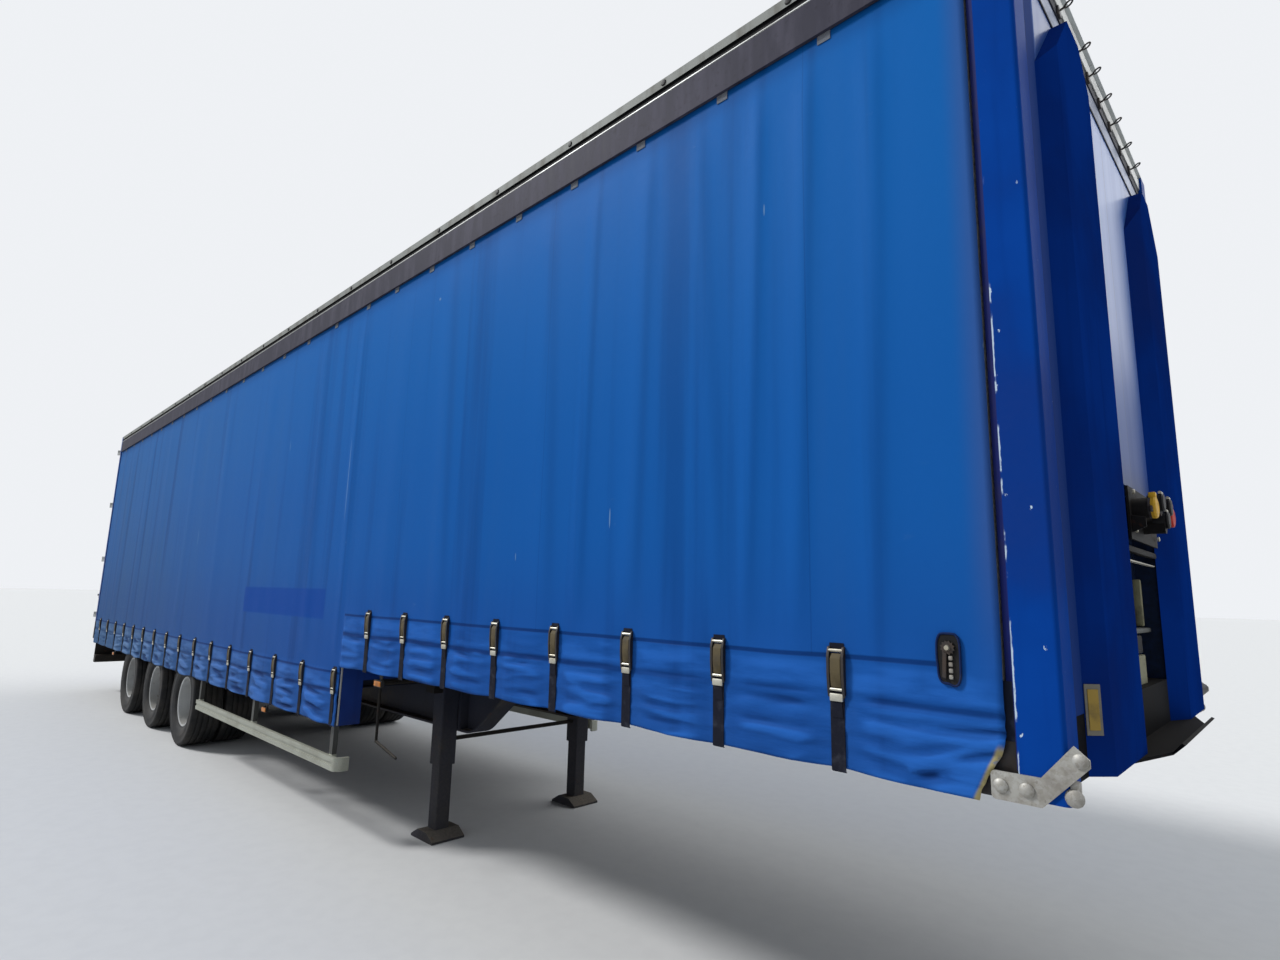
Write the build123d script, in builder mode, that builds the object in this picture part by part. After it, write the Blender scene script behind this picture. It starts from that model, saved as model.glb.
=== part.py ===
"""Step-frame curtain-sided semi trailer on three twin-wheel axles.

Millimetres. +X is forward, +Y is the left side, +Z is up, and the ground is at Z 0.
The origin is on the ground under the middle of the whole length and width.
"""
from build123d import *
import os

os.makedirs("parts", exist_ok=True)

# Body
body_length = 13600
step_setback = 4340
nose_reach = 265
lower_deck_top = 1060
upper_deck_top = 1465
roof_rail_top = 4085
roof_crown = 12
roof_skin = 3
deck_thick = 25

# Side raves, curtains and their straps, measured outwards from the middle
rave_y = 1232
rave_wall = 6
rave_height = 160
rave_flange = 55
soft_gap = 0.3
curtain_thick = 5
curtain_end_gap = 30
curtain_tuck = 195
hem_drop = 320
band_height = 355
strap_width = 50
strap_thick = 3
buckle_width = 62
buckle_height = 165
buckle_thick = 18
strap_tail = 12
upper_strap_first = 540
upper_strap_pitch = 489
lower_strap_first = 80
lower_strap_pitch = 584
strap_end_gap = 300

# Chassis
beam_y = 490
flange_width = 140
flange_thick = 14
web_thick = 10
beam_bottom = 700
beam_tail_bottom = 840
beam_tail_length = 1100
beam_bend_radius = 260
neck_bottom = 1210
kingpin_rib_gap = 170
kingpin_rib_thick = 10
neck_drop_start = 1300
neck_drop_end = 650
bearer_height = 60
bearer_width = 45
bearer_wall = 6
bearer_pitch = 510
bearer_inset = 70
rub_plate_thick = 10
rub_plate_length = 2300
kingpin_setback = 1000
kingpin_neck_r = 25.4
kingpin_collar_r = 36.5
kingpin_head_r = 35.7
kingpin_collar_depth = 35
kingpin_neck_depth = 72
kingpin_depth = 84

# Front wall
front_gap = 20
wall_front = 120
post_width = 116
post_bottom = 1165
side_face_y = 1256
post_corner = 14
header_depth = 315
header_setback = 22
recess_half = 400
recess_top = 2150
recess_depth = 80
column_outer = 985
column_inner = 520
column_slope = 65
column_proud = 55
column_bottom = 1200
column_drop = 345
column_cut = 250
column_cut_drop = 290

# Rear frame and doors
rear_post_depth = 100
rear_post_inner = 1130
rear_post_outer = 1250
rear_post_lip = 1220
rear_lip_depth = 55
sill_depth = 120
sill_height = 260
door_gap = 5
door_thick = 35
door_recess = 5
door_frame_width = 60
door_drop = 60
door_head_gap = 125
rear_header_depth = 185
door_split = 4
pin_y = 1262
pin_stand = 40
pin_r = 8
pin_clearance = 0.3
knuckle_r = 11
leaf_edge_gap = 30
hinge_inset = 150
hinge_pitch = 870
hinge_lug = 20
hinge_blade = 40
blade_thick = 10
blade_length = 150
rod_stand = 20
rod_r = 13
rod_guide_inset = 350
rod_guide_pitch = 1100
rod_offsets = (300, 930)
rod_overhang = 35
cam_r = 16
cam_height = 28
keeper_gap = 10
keeper_thick = 20
keeper_reach = 70
lever_rise = 420
lever_length = 330

# Running gear
tyre_r = 447.5
tyre_width = 280
bead_r = 248
bead_half = 95
bead_clearance = 0.3
twin_y = 930
twin_half_pitch = 155
axle_pitch = 1310
axle_overhang = 2760
axle_tube_r = 63.5
spindle_r = 45
spindle_clearance = 0.3
hub_r = 95
drum_r = 190
arm_width = 70
arm_reach = 480
arm_tail = 400
bag_r = 110
axle_end = 960
flange_r = 120
flange_place = 575
flange_wall = 15
chamber_r = 80
chamber_length = 140
chamber_y = 330
chamber_x = 330
chamber_rise = 122
cam_shaft_x = 110
cam_shaft_r = 17
hand_hole_r = 17
hand_hole_place = 209
hand_hole_count = 8

# Parking legs
leg_setback = 400
leg_outer = 130
leg_inner = 104
leg_split = 480
leg_pad_half = 90
leg_pad_height = 380
foot_length = 280
foot_width = 250

# Places worked out from the sizes above
rear_stack = door_gap + door_thick + pin_stand + knuckle_r
front_x = (body_length + rear_stack - nose_reach) / 2
rear_x = front_x - body_length
step_x = front_x - step_setback
upper_bearer_bottom = upper_deck_top - deck_thick - bearer_height
lower_bearer_bottom = lower_deck_top - deck_thick - bearer_height
deck_half = rave_y - rave_flange
curtain_inner = rave_y + soft_gap
curtain_outer = curtain_inner + curtain_thick
upper_hem = upper_deck_top - hem_drop
lower_hem = lower_deck_top - hem_drop
post_inner = side_face_y - post_width
curtain_top = roof_rail_top - curtain_tuck
header_bottom = roof_rail_top - header_depth
column_top = roof_rail_top - column_drop
sill_bottom = lower_deck_top - sill_height
door_bottom = lower_deck_top - door_drop
door_top = roof_rail_top - door_head_gap
deck_front = front_x + front_gap
deck_rear = rear_x + sill_depth
axle_xs = [rear_x + axle_overhang + axle_pitch * count for count in (2, 1, 0)]
sides = ((1, "left"), (-1, "right"))


def at_y(y):
    """Plane across the trailer at a distance to the left, with X and Z as its axes."""
    return Plane.XZ.offset(-y)


def at_x(x):
    """Plane along the trailer at a place, with Y and Z as its axes."""
    return Plane.YZ.offset(x)


def box_between(low, high):
    """Box from its lowest corner to its highest corner, in the open part."""
    middle = [(a + b) / 2 for a, b in zip(low, high)]
    size = [b - a for a, b in zip(low, high)]
    with Locations(tuple(middle)):
        Box(*size)


def evenly(first, last, pitch):
    """Places from first to last, both included, at about the given pitch."""
    count = max(1, round(abs(last - first) / pitch))
    return [first + (last - first) * step / count for step in range(count + 1)]


def beam_outline():
    """Side outline of a main beam: deep at the rear, shallow in the neck."""
    tail_x = deck_rear
    corners = (
        (tail_x, beam_tail_bottom),
        (tail_x + beam_tail_length, beam_bottom),
        (step_x + neck_drop_end, beam_bottom),
        (step_x + neck_drop_start, neck_bottom),
        (deck_front, neck_bottom),
        (deck_front, upper_bearer_bottom),
        (step_x, upper_bearer_bottom),
        (step_x, lower_bearer_bottom),
        (tail_x, lower_bearer_bottom),
    )
    outline = Polygon(*corners, align=None)
    bends = [
        v
        for v in outline.vertices()
        if abs(v.X - step_x - neck_drop_end) < 1 or abs(v.X - step_x - neck_drop_start) < 1
    ]
    fillet(bends, radius=beam_bend_radius)


# Two gooseneck beams of I section
with BuildPart() as main_beams:
    with BuildSketch(at_y(beam_y)):
        beam_outline()
    extrude(amount=flange_width / 2, both=True)
    for side in (1, -1):
        with BuildSketch(at_y(beam_y + side * web_thick / 2)) as pocket:
            beam_outline()
            offset(amount=-flange_thick, kind=Kind.INTERSECTION, mode=Mode.REPLACE)
        extrude(amount=-side * (flange_width - web_thick) / 2, mode=Mode.SUBTRACT)
    mirror(about=Plane.XZ)
main_beams.part.label = "main_beams"
export_step(main_beams.part, "parts/main_beams.step")

# Channel bearers across the beams, in two rows at the two deck heights
lower_bearers = evenly(step_x - bearer_inset, deck_rear + bearer_inset, bearer_pitch)
upper_bearers = evenly(step_x + bearer_inset, deck_front - bearer_inset, bearer_pitch)
bearer_rows = [(x, lower_bearer_bottom) for x in lower_bearers]
bearer_rows += [(x, upper_bearer_bottom) for x in upper_bearers]
with BuildPart() as cross_members:
    with BuildSketch(Plane.XZ):
        with Locations(*[(x, z + bearer_height / 2) for x, z in bearer_rows]):
            Rectangle(bearer_width, bearer_height)
        with Locations(*[(x + bearer_wall, z + bearer_height / 2) for x, z in bearer_rows]):
            Rectangle(bearer_width, bearer_height - 2 * bearer_wall, mode=Mode.SUBTRACT)
    extrude(amount=rave_y - rave_wall, both=True)
cross_members.part.label = "cross_members"
export_step(cross_members.part, "parts/cross_members.step")

# Channel side raves along both edges of both decks: deck top, rear end, front end
rave_rows = (
    (lower_deck_top, rear_x + rear_post_depth, step_x),
    (upper_deck_top, step_x, front_x),
)
with BuildPart() as side_raves:
    for top, x_rear, x_front in rave_rows:
        with BuildSketch(at_x(x_rear)):
            for side in (1, -1):
                with Locations((side * (rave_y - rave_flange / 2), top - rave_height / 2)):
                    Rectangle(rave_flange, rave_height)
                with Locations((side * (rave_y - rave_wall - rave_flange / 2), top - rave_height / 2)):
                    Rectangle(rave_flange, rave_height - 2 * rave_wall, mode=Mode.SUBTRACT)
        extrude(amount=x_front - x_rear)
side_raves.part.label = "side_raves"
export_step(side_raves.part, "parts/side_raves.step")

# Rubbing plate under the neck, with a nose that narrows forwards to an upturned lip
rub_bottom = neck_bottom - rub_plate_thick
nose_base_half = 870
nose_tip_half = 420
nose_lip = 35
nose_flat_end = front_x + nose_reach - nose_lip
kingpin_x = front_x - kingpin_setback
with BuildPart() as rubbing_plate:
    box_between(
        (deck_front - rub_plate_length, -beam_y - flange_width / 2, rub_bottom),
        (deck_front, beam_y + flange_width / 2, neck_bottom),
    )
    with BuildSketch(Plane.XY.offset(rub_bottom)):
        Polygon(
            (deck_front, -nose_base_half),
            (front_x + wall_front, -nose_base_half),
            (nose_flat_end, -nose_tip_half),
            (nose_flat_end, nose_tip_half),
            (front_x + wall_front, nose_base_half),
            (deck_front, nose_base_half),
            align=None,
        )
    extrude(amount=rub_plate_thick)
    with BuildSketch(Plane.XZ):
        Polygon(
            (nose_flat_end, rub_bottom),
            (nose_flat_end + nose_lip, rub_bottom + nose_lip),
            (nose_flat_end + nose_lip - rub_plate_thick, rub_bottom + nose_lip + rub_plate_thick / 2),
            (nose_flat_end, neck_bottom),
            align=None,
        )
    extrude(amount=nose_tip_half, both=True)
    with BuildSketch(Plane.XY.offset(rub_bottom)):
        with Locations((kingpin_x, 0)):
            Circle(kingpin_collar_r)
    extrude(amount=rub_plate_thick, mode=Mode.SUBTRACT)
rubbing_plate.part.label = "rubbing_plate"
export_step(rubbing_plate.part, "parts/rubbing_plate.step")

# Kingpin, turned about the upright axis, with its flange on the rubbing plate
kingpin_flange_r = 85
kingpin_flange_thick = 16
with BuildPart() as kingpin:
    with BuildSketch(Plane.XZ.shift_origin((kingpin_x, 0, rub_bottom))):
        Polygon(
            (0, rub_plate_thick + kingpin_flange_thick),
            (kingpin_flange_r, rub_plate_thick + kingpin_flange_thick),
            (kingpin_flange_r, rub_plate_thick),
            (kingpin_collar_r, rub_plate_thick),
            (kingpin_collar_r, -kingpin_collar_depth),
            (kingpin_neck_r, -kingpin_collar_depth),
            (kingpin_neck_r, -kingpin_neck_depth),
            (kingpin_head_r, -kingpin_neck_depth),
            (kingpin_head_r, -kingpin_depth),
            (0, -kingpin_depth),
            align=None,
        )
    revolve(axis=Axis((kingpin_x, 0, 0), (0, 0, 1)))
kingpin.part.label = "kingpin"
export_step(kingpin.part, "parts/kingpin.step")

# Bolster across the front end of the neck, and two ribs across the beams at the kingpin
with BuildPart() as front_bolster:
    for x in (kingpin_x - kingpin_rib_gap, kingpin_x + kingpin_rib_gap):
        box_between(
            (x - kingpin_rib_thick / 2, -beam_y + web_thick / 2, neck_bottom + flange_thick),
            (x + kingpin_rib_thick / 2, beam_y - web_thick / 2, upper_bearer_bottom - flange_thick),
        )
        box_between(
            (x - kingpin_rib_thick / 2, -beam_y + flange_width / 2, neck_bottom),
            (x + kingpin_rib_thick / 2, beam_y - flange_width / 2, neck_bottom + flange_thick),
        )
    box_between(
        (deck_front, -post_inner, neck_bottom),
        (front_x + wall_front, post_inner, upper_bearer_bottom),
    )
front_bolster.part.label = "front_bolster"
export_step(front_bolster.part, "parts/front_bolster.step")

# Decks, one behind and below the other
riser_thick = 8
with BuildPart() as decks:
    box_between(
        (deck_rear, -deck_half, lower_deck_top - deck_thick),
        (step_x - riser_thick, deck_half, lower_deck_top),
    )
    box_between(
        (step_x - riser_thick, -deck_half, upper_deck_top - deck_thick),
        (front_x, deck_half, upper_deck_top),
    )
    box_between(
        (front_x, -post_inner, upper_deck_top - deck_thick),
        (deck_front, post_inner, upper_deck_top),
    )
decks.part.label = "decks"
export_step(decks.part, "parts/decks.step")

# Riser between the decks, with return panels that close the lower curtain's front ends
return_width = 165
return_thick = 5
with BuildPart() as step_panels:
    box_between(
        (step_x - riser_thick, -deck_half, lower_deck_top - deck_thick),
        (step_x, deck_half, upper_deck_top - deck_thick),
    )
    for side in (1, -1):
        y_pair = sorted((side * (rave_y - return_width), side * (rave_y - soft_gap)))
        box_between(
            (step_x, y_pair[0], lower_hem),
            (step_x + return_thick, y_pair[1], upper_deck_top - rave_height),
        )
step_panels.part.label = "step_panels"
export_step(step_panels.part, "parts/step_panels.step")

# Front wall with a recess for the couplings
with BuildPart() as headboard:
    box_between(
        (deck_front, -post_inner, upper_bearer_bottom),
        (front_x + wall_front, post_inner, header_bottom),
    )
    with BuildSketch(at_x(front_x + wall_front)):
        with Locations((0, (upper_bearer_bottom + recess_top) / 2)):
            Rectangle(2 * recess_half, recess_top - upper_bearer_bottom)
    extrude(amount=-recess_depth, mode=Mode.SUBTRACT)
headboard.part.label = "headboard"
export_step(headboard.part, "parts/headboard.step")

# Two pressed columns that stand proud of the front wall, with their top corners cut
with BuildPart() as bulkhead_columns:
    with BuildSketch(Plane.XY.offset(column_bottom + rub_plate_thick)):
        Polygon(
            (front_x + wall_front, column_outer + column_slope),
            (front_x + wall_front + column_proud, column_outer),
            (front_x + wall_front + column_proud, column_inner),
            (front_x + wall_front, column_inner - 2 * column_slope),
            align=None,
        )
    extrude(amount=column_top - column_bottom - rub_plate_thick)
    with BuildSketch(at_x(front_x + wall_front)):
        for edge, inwards in ((column_outer + column_slope, -1), (column_inner - 2 * column_slope, 1)):
            Polygon(
                (edge, column_top - column_cut_drop),
                (edge + inwards * column_cut, column_top),
                (edge, column_top),
                align=None,
            )
    extrude(amount=column_proud, mode=Mode.SUBTRACT)
    mirror(about=Plane.XZ)
bulkhead_columns.part.label = "bulkhead_columns"
export_step(bulkhead_columns.part, "parts/bulkhead_columns.step")

# Corner posts at the front
with BuildPart() as corner_posts:
    box_between(
        (front_x, post_inner, post_bottom),
        (front_x + wall_front, side_face_y, roof_rail_top),
    )
    outer_edge = corner_posts.edges().filter_by(Axis.Z).sort_by(Axis.Y)[-2:].sort_by(Axis.X)[-1:]
    fillet(outer_edge, radius=post_corner)
    mirror(about=Plane.XZ)
corner_posts.part.label = "corner_posts"
export_step(corner_posts.part, "parts/corner_posts.step")

# Front header between the corner posts
with BuildPart() as front_header:
    box_between(
        (deck_front, -post_inner, header_bottom),
        (front_x + wall_front - header_setback, post_inner, roof_rail_top),
    )
front_header.part.label = "front_header"
export_step(front_header.part, "parts/front_header.step")

# Roof rails: a box on top with a gutter groove, and a pelmet that hangs over the curtain's top edge
rail_width = 106
pelmet_thick = 14
pelmet_depth = 255
rail_depth = 185
groove_bottom = roof_rail_top - 85
groove_top = roof_rail_top - 45
gutter_depth = 12
strip_inset = 3
pelmet_bottom = roof_rail_top - pelmet_depth
rail_bottom = roof_rail_top - rail_depth
with BuildPart() as roof_rails:
    with BuildSketch(at_x(rear_x + rear_post_depth)):
        Polygon(
            (side_face_y - rail_width, rail_bottom),
            (side_face_y - pelmet_thick, rail_bottom),
            (side_face_y - pelmet_thick, pelmet_bottom),
            (side_face_y, pelmet_bottom),
            (side_face_y, groove_bottom),
            (side_face_y - gutter_depth, groove_bottom),
            (side_face_y - gutter_depth, groove_top),
            (side_face_y - strip_inset, groove_top),
            (side_face_y - strip_inset, roof_rail_top),
            (side_face_y - rail_width, roof_rail_top),
            align=None,
        )
    extrude(amount=body_length - rear_post_depth)
    mirror(about=Plane.XZ)
roof_rails.part.label = "roof_rails"
export_step(roof_rails.part, "parts/roof_rails.step")

# Arched roof bows between the rails
bow_half = side_face_y - rail_width
bow_depth = 32
bow_width = 40
bow_pitch = 700
bow_xs = evenly(rear_x + rear_post_depth + bow_pitch, front_x - bow_pitch, bow_pitch)


def arch(z_edge, half, thick):
    """Arched strip that rises to the roof's crown over the middle, in a plane across the trailer."""
    with BuildLine(Plane.XY) as strip:
        Line((-half, z_edge - thick), (-half, z_edge))
        ThreePointArc((-half, z_edge), (0, z_edge + roof_crown), (half, z_edge))
        Line((half, z_edge), (half, z_edge - thick))
        ThreePointArc((half, z_edge - thick), (0, z_edge + roof_crown - thick), (-half, z_edge - thick))
    make_face(strip.edges())


with BuildPart() as roof_bows:
    for x in bow_xs:
        with BuildSketch(at_x(x)):
            arch(roof_rail_top - soft_gap, bow_half, bow_depth)
        extrude(amount=bow_width)
roof_bows.part.label = "roof_bows"
export_step(roof_bows.part, "parts/roof_bows.step")

with BuildPart() as roof_sheet:
    with BuildSketch(at_x(rear_x)):
        arch(roof_rail_top + roof_skin, bow_half, roof_skin)
        for side in (1, -1):
            with Locations((side * (bow_half + rail_width / 2 - 5), roof_rail_top + roof_skin / 2)):
                Rectangle(rail_width - 10, roof_skin)
    extrude(amount=body_length + wall_front)
roof_sheet.part.label = "roof_sheet"
export_step(roof_sheet.part, "parts/roof_sheet.step")

# Load pillars inside the curtains, and the upright poles that the curtains are wound on.
# Pillars: place from the front edge, deck top. Poles: place, deck top.
pillar_rows = ((2200, upper_deck_top), (6600, lower_deck_top), (8900, lower_deck_top), (11200, lower_deck_top))
pillar_length = 90
pillar_width = rave_flange - rave_wall
pole_r = 17
pole_y = rave_y - rave_wall - pole_r - 4
pole_rows = (
    (front_x - curtain_end_gap - pole_r, upper_deck_top),
    (rear_x + rear_post_depth + curtain_end_gap + pole_r, lower_deck_top),
)
with BuildPart() as side_pillars:
    for x, z_foot in pole_rows:
        with BuildSketch(Plane.XY.offset(z_foot)):
            with Locations((x, pole_y), (x, -pole_y)):
                Circle(pole_r)
        extrude(amount=rail_bottom - z_foot)
    for setback, z_foot in pillar_rows:
        for side in (1, -1):
            y_pair = sorted((side * (rave_y - rave_wall), side * (rave_y - rave_wall - pillar_width)))
            box_between(
                (front_x - setback - pillar_length / 2, y_pair[0], z_foot),
                (front_x - setback + pillar_length / 2, y_pair[1], rail_bottom),
            )
side_pillars.part.label = "side_pillars"
export_step(side_pillars.part, "parts/side_pillars.step")

# Curtains: plain sheets with the step in their lower edge
curtain_rear_x = rear_x + rear_post_depth - 30
curtain_front_x = front_x - curtain_end_gap
for side, hand in sides:
    with BuildPart() as curtain:
        with BuildSketch(at_y(side * curtain_inner)):
            Polygon(
                (curtain_rear_x, lower_hem),
                (step_x, lower_hem),
                (step_x, upper_hem),
                (curtain_front_x, upper_hem),
                (curtain_front_x, curtain_top),
                (curtain_rear_x, curtain_top),
                align=None,
            )
        extrude(amount=-side * curtain_thick)
    curtain.part.label = f"curtain_{hand}"
    export_step(curtain.part, f"parts/curtain_{hand}.step")

# Straps with their buckles over the curtain's lower band
strap_rows = []
for x_front, x_rear, first, pitch, hem in (
    (front_x, step_x, upper_strap_first, upper_strap_pitch, upper_hem),
    (step_x, rear_x + strap_end_gap, lower_strap_first, lower_strap_pitch, lower_hem),
):
    strap_count = int((x_front - first - x_rear) / pitch) + 1
    strap_rows += [(x_front - first - pitch * count, hem) for count in range(strap_count)]
strap_back = curtain_outer + soft_gap
with BuildPart() as curtain_straps:
    for x, hem in strap_rows:
        band_top = hem + band_height
        with BuildSketch(at_x(x - strap_width / 2)):
            Polygon(
                (strap_back, hem - strap_tail),
                (strap_back + strap_thick, hem - strap_tail),
                (strap_back + strap_thick, band_top),
                (strap_back, band_top),
                align=None,
            )
        extrude(amount=strap_width)
        with BuildSketch(at_x(x - buckle_width / 2)):
            Polygon(
                (strap_back, band_top),
                (strap_back + buckle_thick * 0.6, band_top),
                (strap_back + buckle_thick, band_top - buckle_height * 0.2),
                (strap_back + buckle_thick, band_top - buckle_height * 0.85),
                (strap_back + buckle_thick * 0.5, band_top - buckle_height),
                (strap_back, band_top - buckle_height),
                align=None,
            )
        extrude(amount=buckle_width)
    mirror(about=Plane.XZ)
curtain_straps.part.label = "curtain_straps"
export_step(curtain_straps.part, "parts/curtain_straps.step")

# Rear frame: posts, header and sill
with BuildPart() as rear_posts:
    for side in (1, -1):
        y_pair = sorted((side * rear_post_inner, side * rear_post_lip))
        box_between(
            (rear_x, y_pair[0], lower_deck_top),
            (rear_x + rear_post_depth, y_pair[1], roof_rail_top),
        )
        y_pair = sorted((side * rear_post_lip, side * rear_post_outer))
        box_between(
            (rear_x, y_pair[0], lower_deck_top),
            (rear_x + rear_lip_depth, y_pair[1], roof_rail_top),
        )
rear_posts.part.label = "rear_posts"
export_step(rear_posts.part, "parts/rear_posts.step")

with BuildPart() as rear_header:
    box_between(
        (rear_x, -rear_post_inner, roof_rail_top - rear_header_depth),
        (rear_x + rear_post_depth, rear_post_inner, roof_rail_top),
    )
rear_header.part.label = "rear_header"
export_step(rear_header.part, "parts/rear_header.step")

with BuildPart() as rear_sill:
    box_between((rear_x, -deck_half, sill_bottom), (deck_rear, deck_half, lower_deck_top))
    for side in (1, -1):
        y_pair = sorted((side * deck_half, side * rear_post_lip))
        box_between((rear_x, y_pair[0], sill_bottom), (rear_x + rear_post_depth, y_pair[1], lower_deck_top))
        y_pair = sorted((side * rear_post_lip, side * rear_post_outer))
        box_between((rear_x, y_pair[0], sill_bottom), (rear_x + rear_lip_depth, y_pair[1], lower_deck_top))
rear_sill.part.label = "rear_sill"
export_step(rear_sill.part, "parts/rear_sill.step")

# Fixed door mountings: lock rod keepers on sill and header, and hinge lugs with their pins on the posts
rod_x = rear_x - door_gap - door_thick - rod_stand
pin_x = rear_x - door_gap - door_thick - pin_stand
keeper_low = door_bottom - rod_overhang - cam_height / 2 - keeper_gap - keeper_thick
keeper_high = door_top + rod_overhang + cam_height / 2 + keeper_gap
hinge_heights = evenly(door_bottom + hinge_inset, door_top - hinge_inset, hinge_pitch)
lever_height = lower_deck_top + lever_rise
with BuildPart() as door_mountings:
    for z in (keeper_low, keeper_high):
        with BuildSketch(Plane.XY.offset(z)):
            with Locations(*[(rear_x - keeper_reach / 2, y) for y in rod_offsets]):
                Rectangle(keeper_reach, 60)
        extrude(amount=keeper_thick)
    for z in hinge_heights:
        with BuildSketch(Plane.XY.offset(z - hinge_lug)):
            with Locations((pin_x, pin_y)):
                Circle(knuckle_r)
            Polygon(
                (pin_x, pin_y + knuckle_r),
                (pin_x, pin_y - knuckle_r),
                (pin_x + knuckle_r, pin_y - 2 * knuckle_r),
                (rear_x, pin_y - 2 * knuckle_r),
                (rear_x, rear_post_outer),
                align=None,
            )
        extrude(amount=2 * hinge_lug)
        with BuildSketch(Plane.XY.offset(z + hinge_lug)):
            with Locations((pin_x, pin_y)):
                Circle(pin_r)
        extrude(amount=hinge_blade)
    mirror(about=Plane.XZ)
door_mountings.part.label = "door_mountings"
export_step(door_mountings.part, "parts/door_mountings.step")

# Rear doors: a leaf with a sunk panel, and its lock rods, levers and hinge blades
leaf_outer = pin_y - leaf_edge_gap
leaf_face_x = rear_x - door_gap - door_thick
blade_z_gap = 0.5
for side, hand in sides:
    y_pair = sorted((side * door_split, side * leaf_outer))
    with BuildPart() as leaf:
        box_between((leaf_face_x, y_pair[0], door_bottom), (rear_x - door_gap, y_pair[1], door_top))
        with BuildSketch(at_x(leaf_face_x)):
            with Locations((side * (door_split + leaf_outer) / 2, (door_bottom + door_top) / 2)):
                Rectangle(
                    leaf_outer - door_split - 2 * door_frame_width,
                    door_top - door_bottom - 2 * door_frame_width,
                )
        extrude(amount=door_recess, mode=Mode.SUBTRACT)
    leaf.part.label = f"door_{hand}_leaf"
    export_step(leaf.part, f"parts/door_{hand}_leaf.step")

    with BuildPart() as gear:
        for y in rod_offsets:
            with BuildSketch(Plane.XY.offset(door_bottom - rod_overhang)):
                with Locations((rod_x, side * y)):
                    Circle(rod_r)
            extrude(amount=door_top - door_bottom + 2 * rod_overhang)
            for z in (door_bottom - rod_overhang, door_top + rod_overhang):
                with Locations((rod_x, side * y, z)):
                    Cylinder(cam_r, cam_height)
            for z in evenly(door_bottom + rod_guide_inset, door_top - rod_guide_inset, rod_guide_pitch):
                with Locations(((rod_x + leaf_face_x + door_recess) / 2, side * y, z)):
                    Box(rod_stand + door_recess, 50, 30)
            lever_y = side * (y + lever_length / 2)
            with Locations((rod_x - rod_r + 6, lever_y, lever_height)):
                Box(12, lever_length, 28)
        for z in hinge_heights:
            with BuildSketch(Plane.XY.offset(z + hinge_lug + blade_z_gap)):
                with Locations((pin_x, side * pin_y)):
                    Circle(knuckle_r)
                Polygon(
                    (pin_x - 5, side * (pin_y - 9.8)),
                    (pin_x + 9.8, side * (pin_y + 5)),
                    (leaf_face_x, side * (leaf_outer + 5)),
                    (leaf_face_x, side * (leaf_outer - blade_length)),
                    (leaf_face_x - blade_thick, side * (leaf_outer - blade_length)),
                    (leaf_face_x - blade_thick, side * (leaf_outer - 3)),
                    align=None,
                )
                with Locations((pin_x, side * pin_y)):
                    Circle(pin_r + pin_clearance, mode=Mode.SUBTRACT)
            extrude(amount=hinge_blade)
    gear.part.label = f"door_{hand}_gear"
    export_step(gear.part, f"parts/door_{hand}_gear.step")

# Rear bumper board with the under-run tube behind it
board_bottom = 430
board_half = 1200
tube_size = 110
with BuildPart() as rear_bumper:
    box_between((rear_x, -board_half, board_bottom), (rear_x + 20, board_half, sill_bottom))
    box_between(
        (rear_x + 20, -board_half, board_bottom),
        (rear_x + 20 + tube_size, board_half, board_bottom + tube_size),
    )
    for side in (1, -1):
        y_pair = sorted((side * (beam_y - 50), side * (beam_y + 50)))
        box_between(
            (rear_x + 20, y_pair[0], board_bottom + tube_size),
            (rear_x + 20 + tube_size, y_pair[1], sill_bottom),
        )
rear_bumper.part.label = "rear_bumper"
export_step(rear_bumper.part, "parts/rear_bumper.step")

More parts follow.
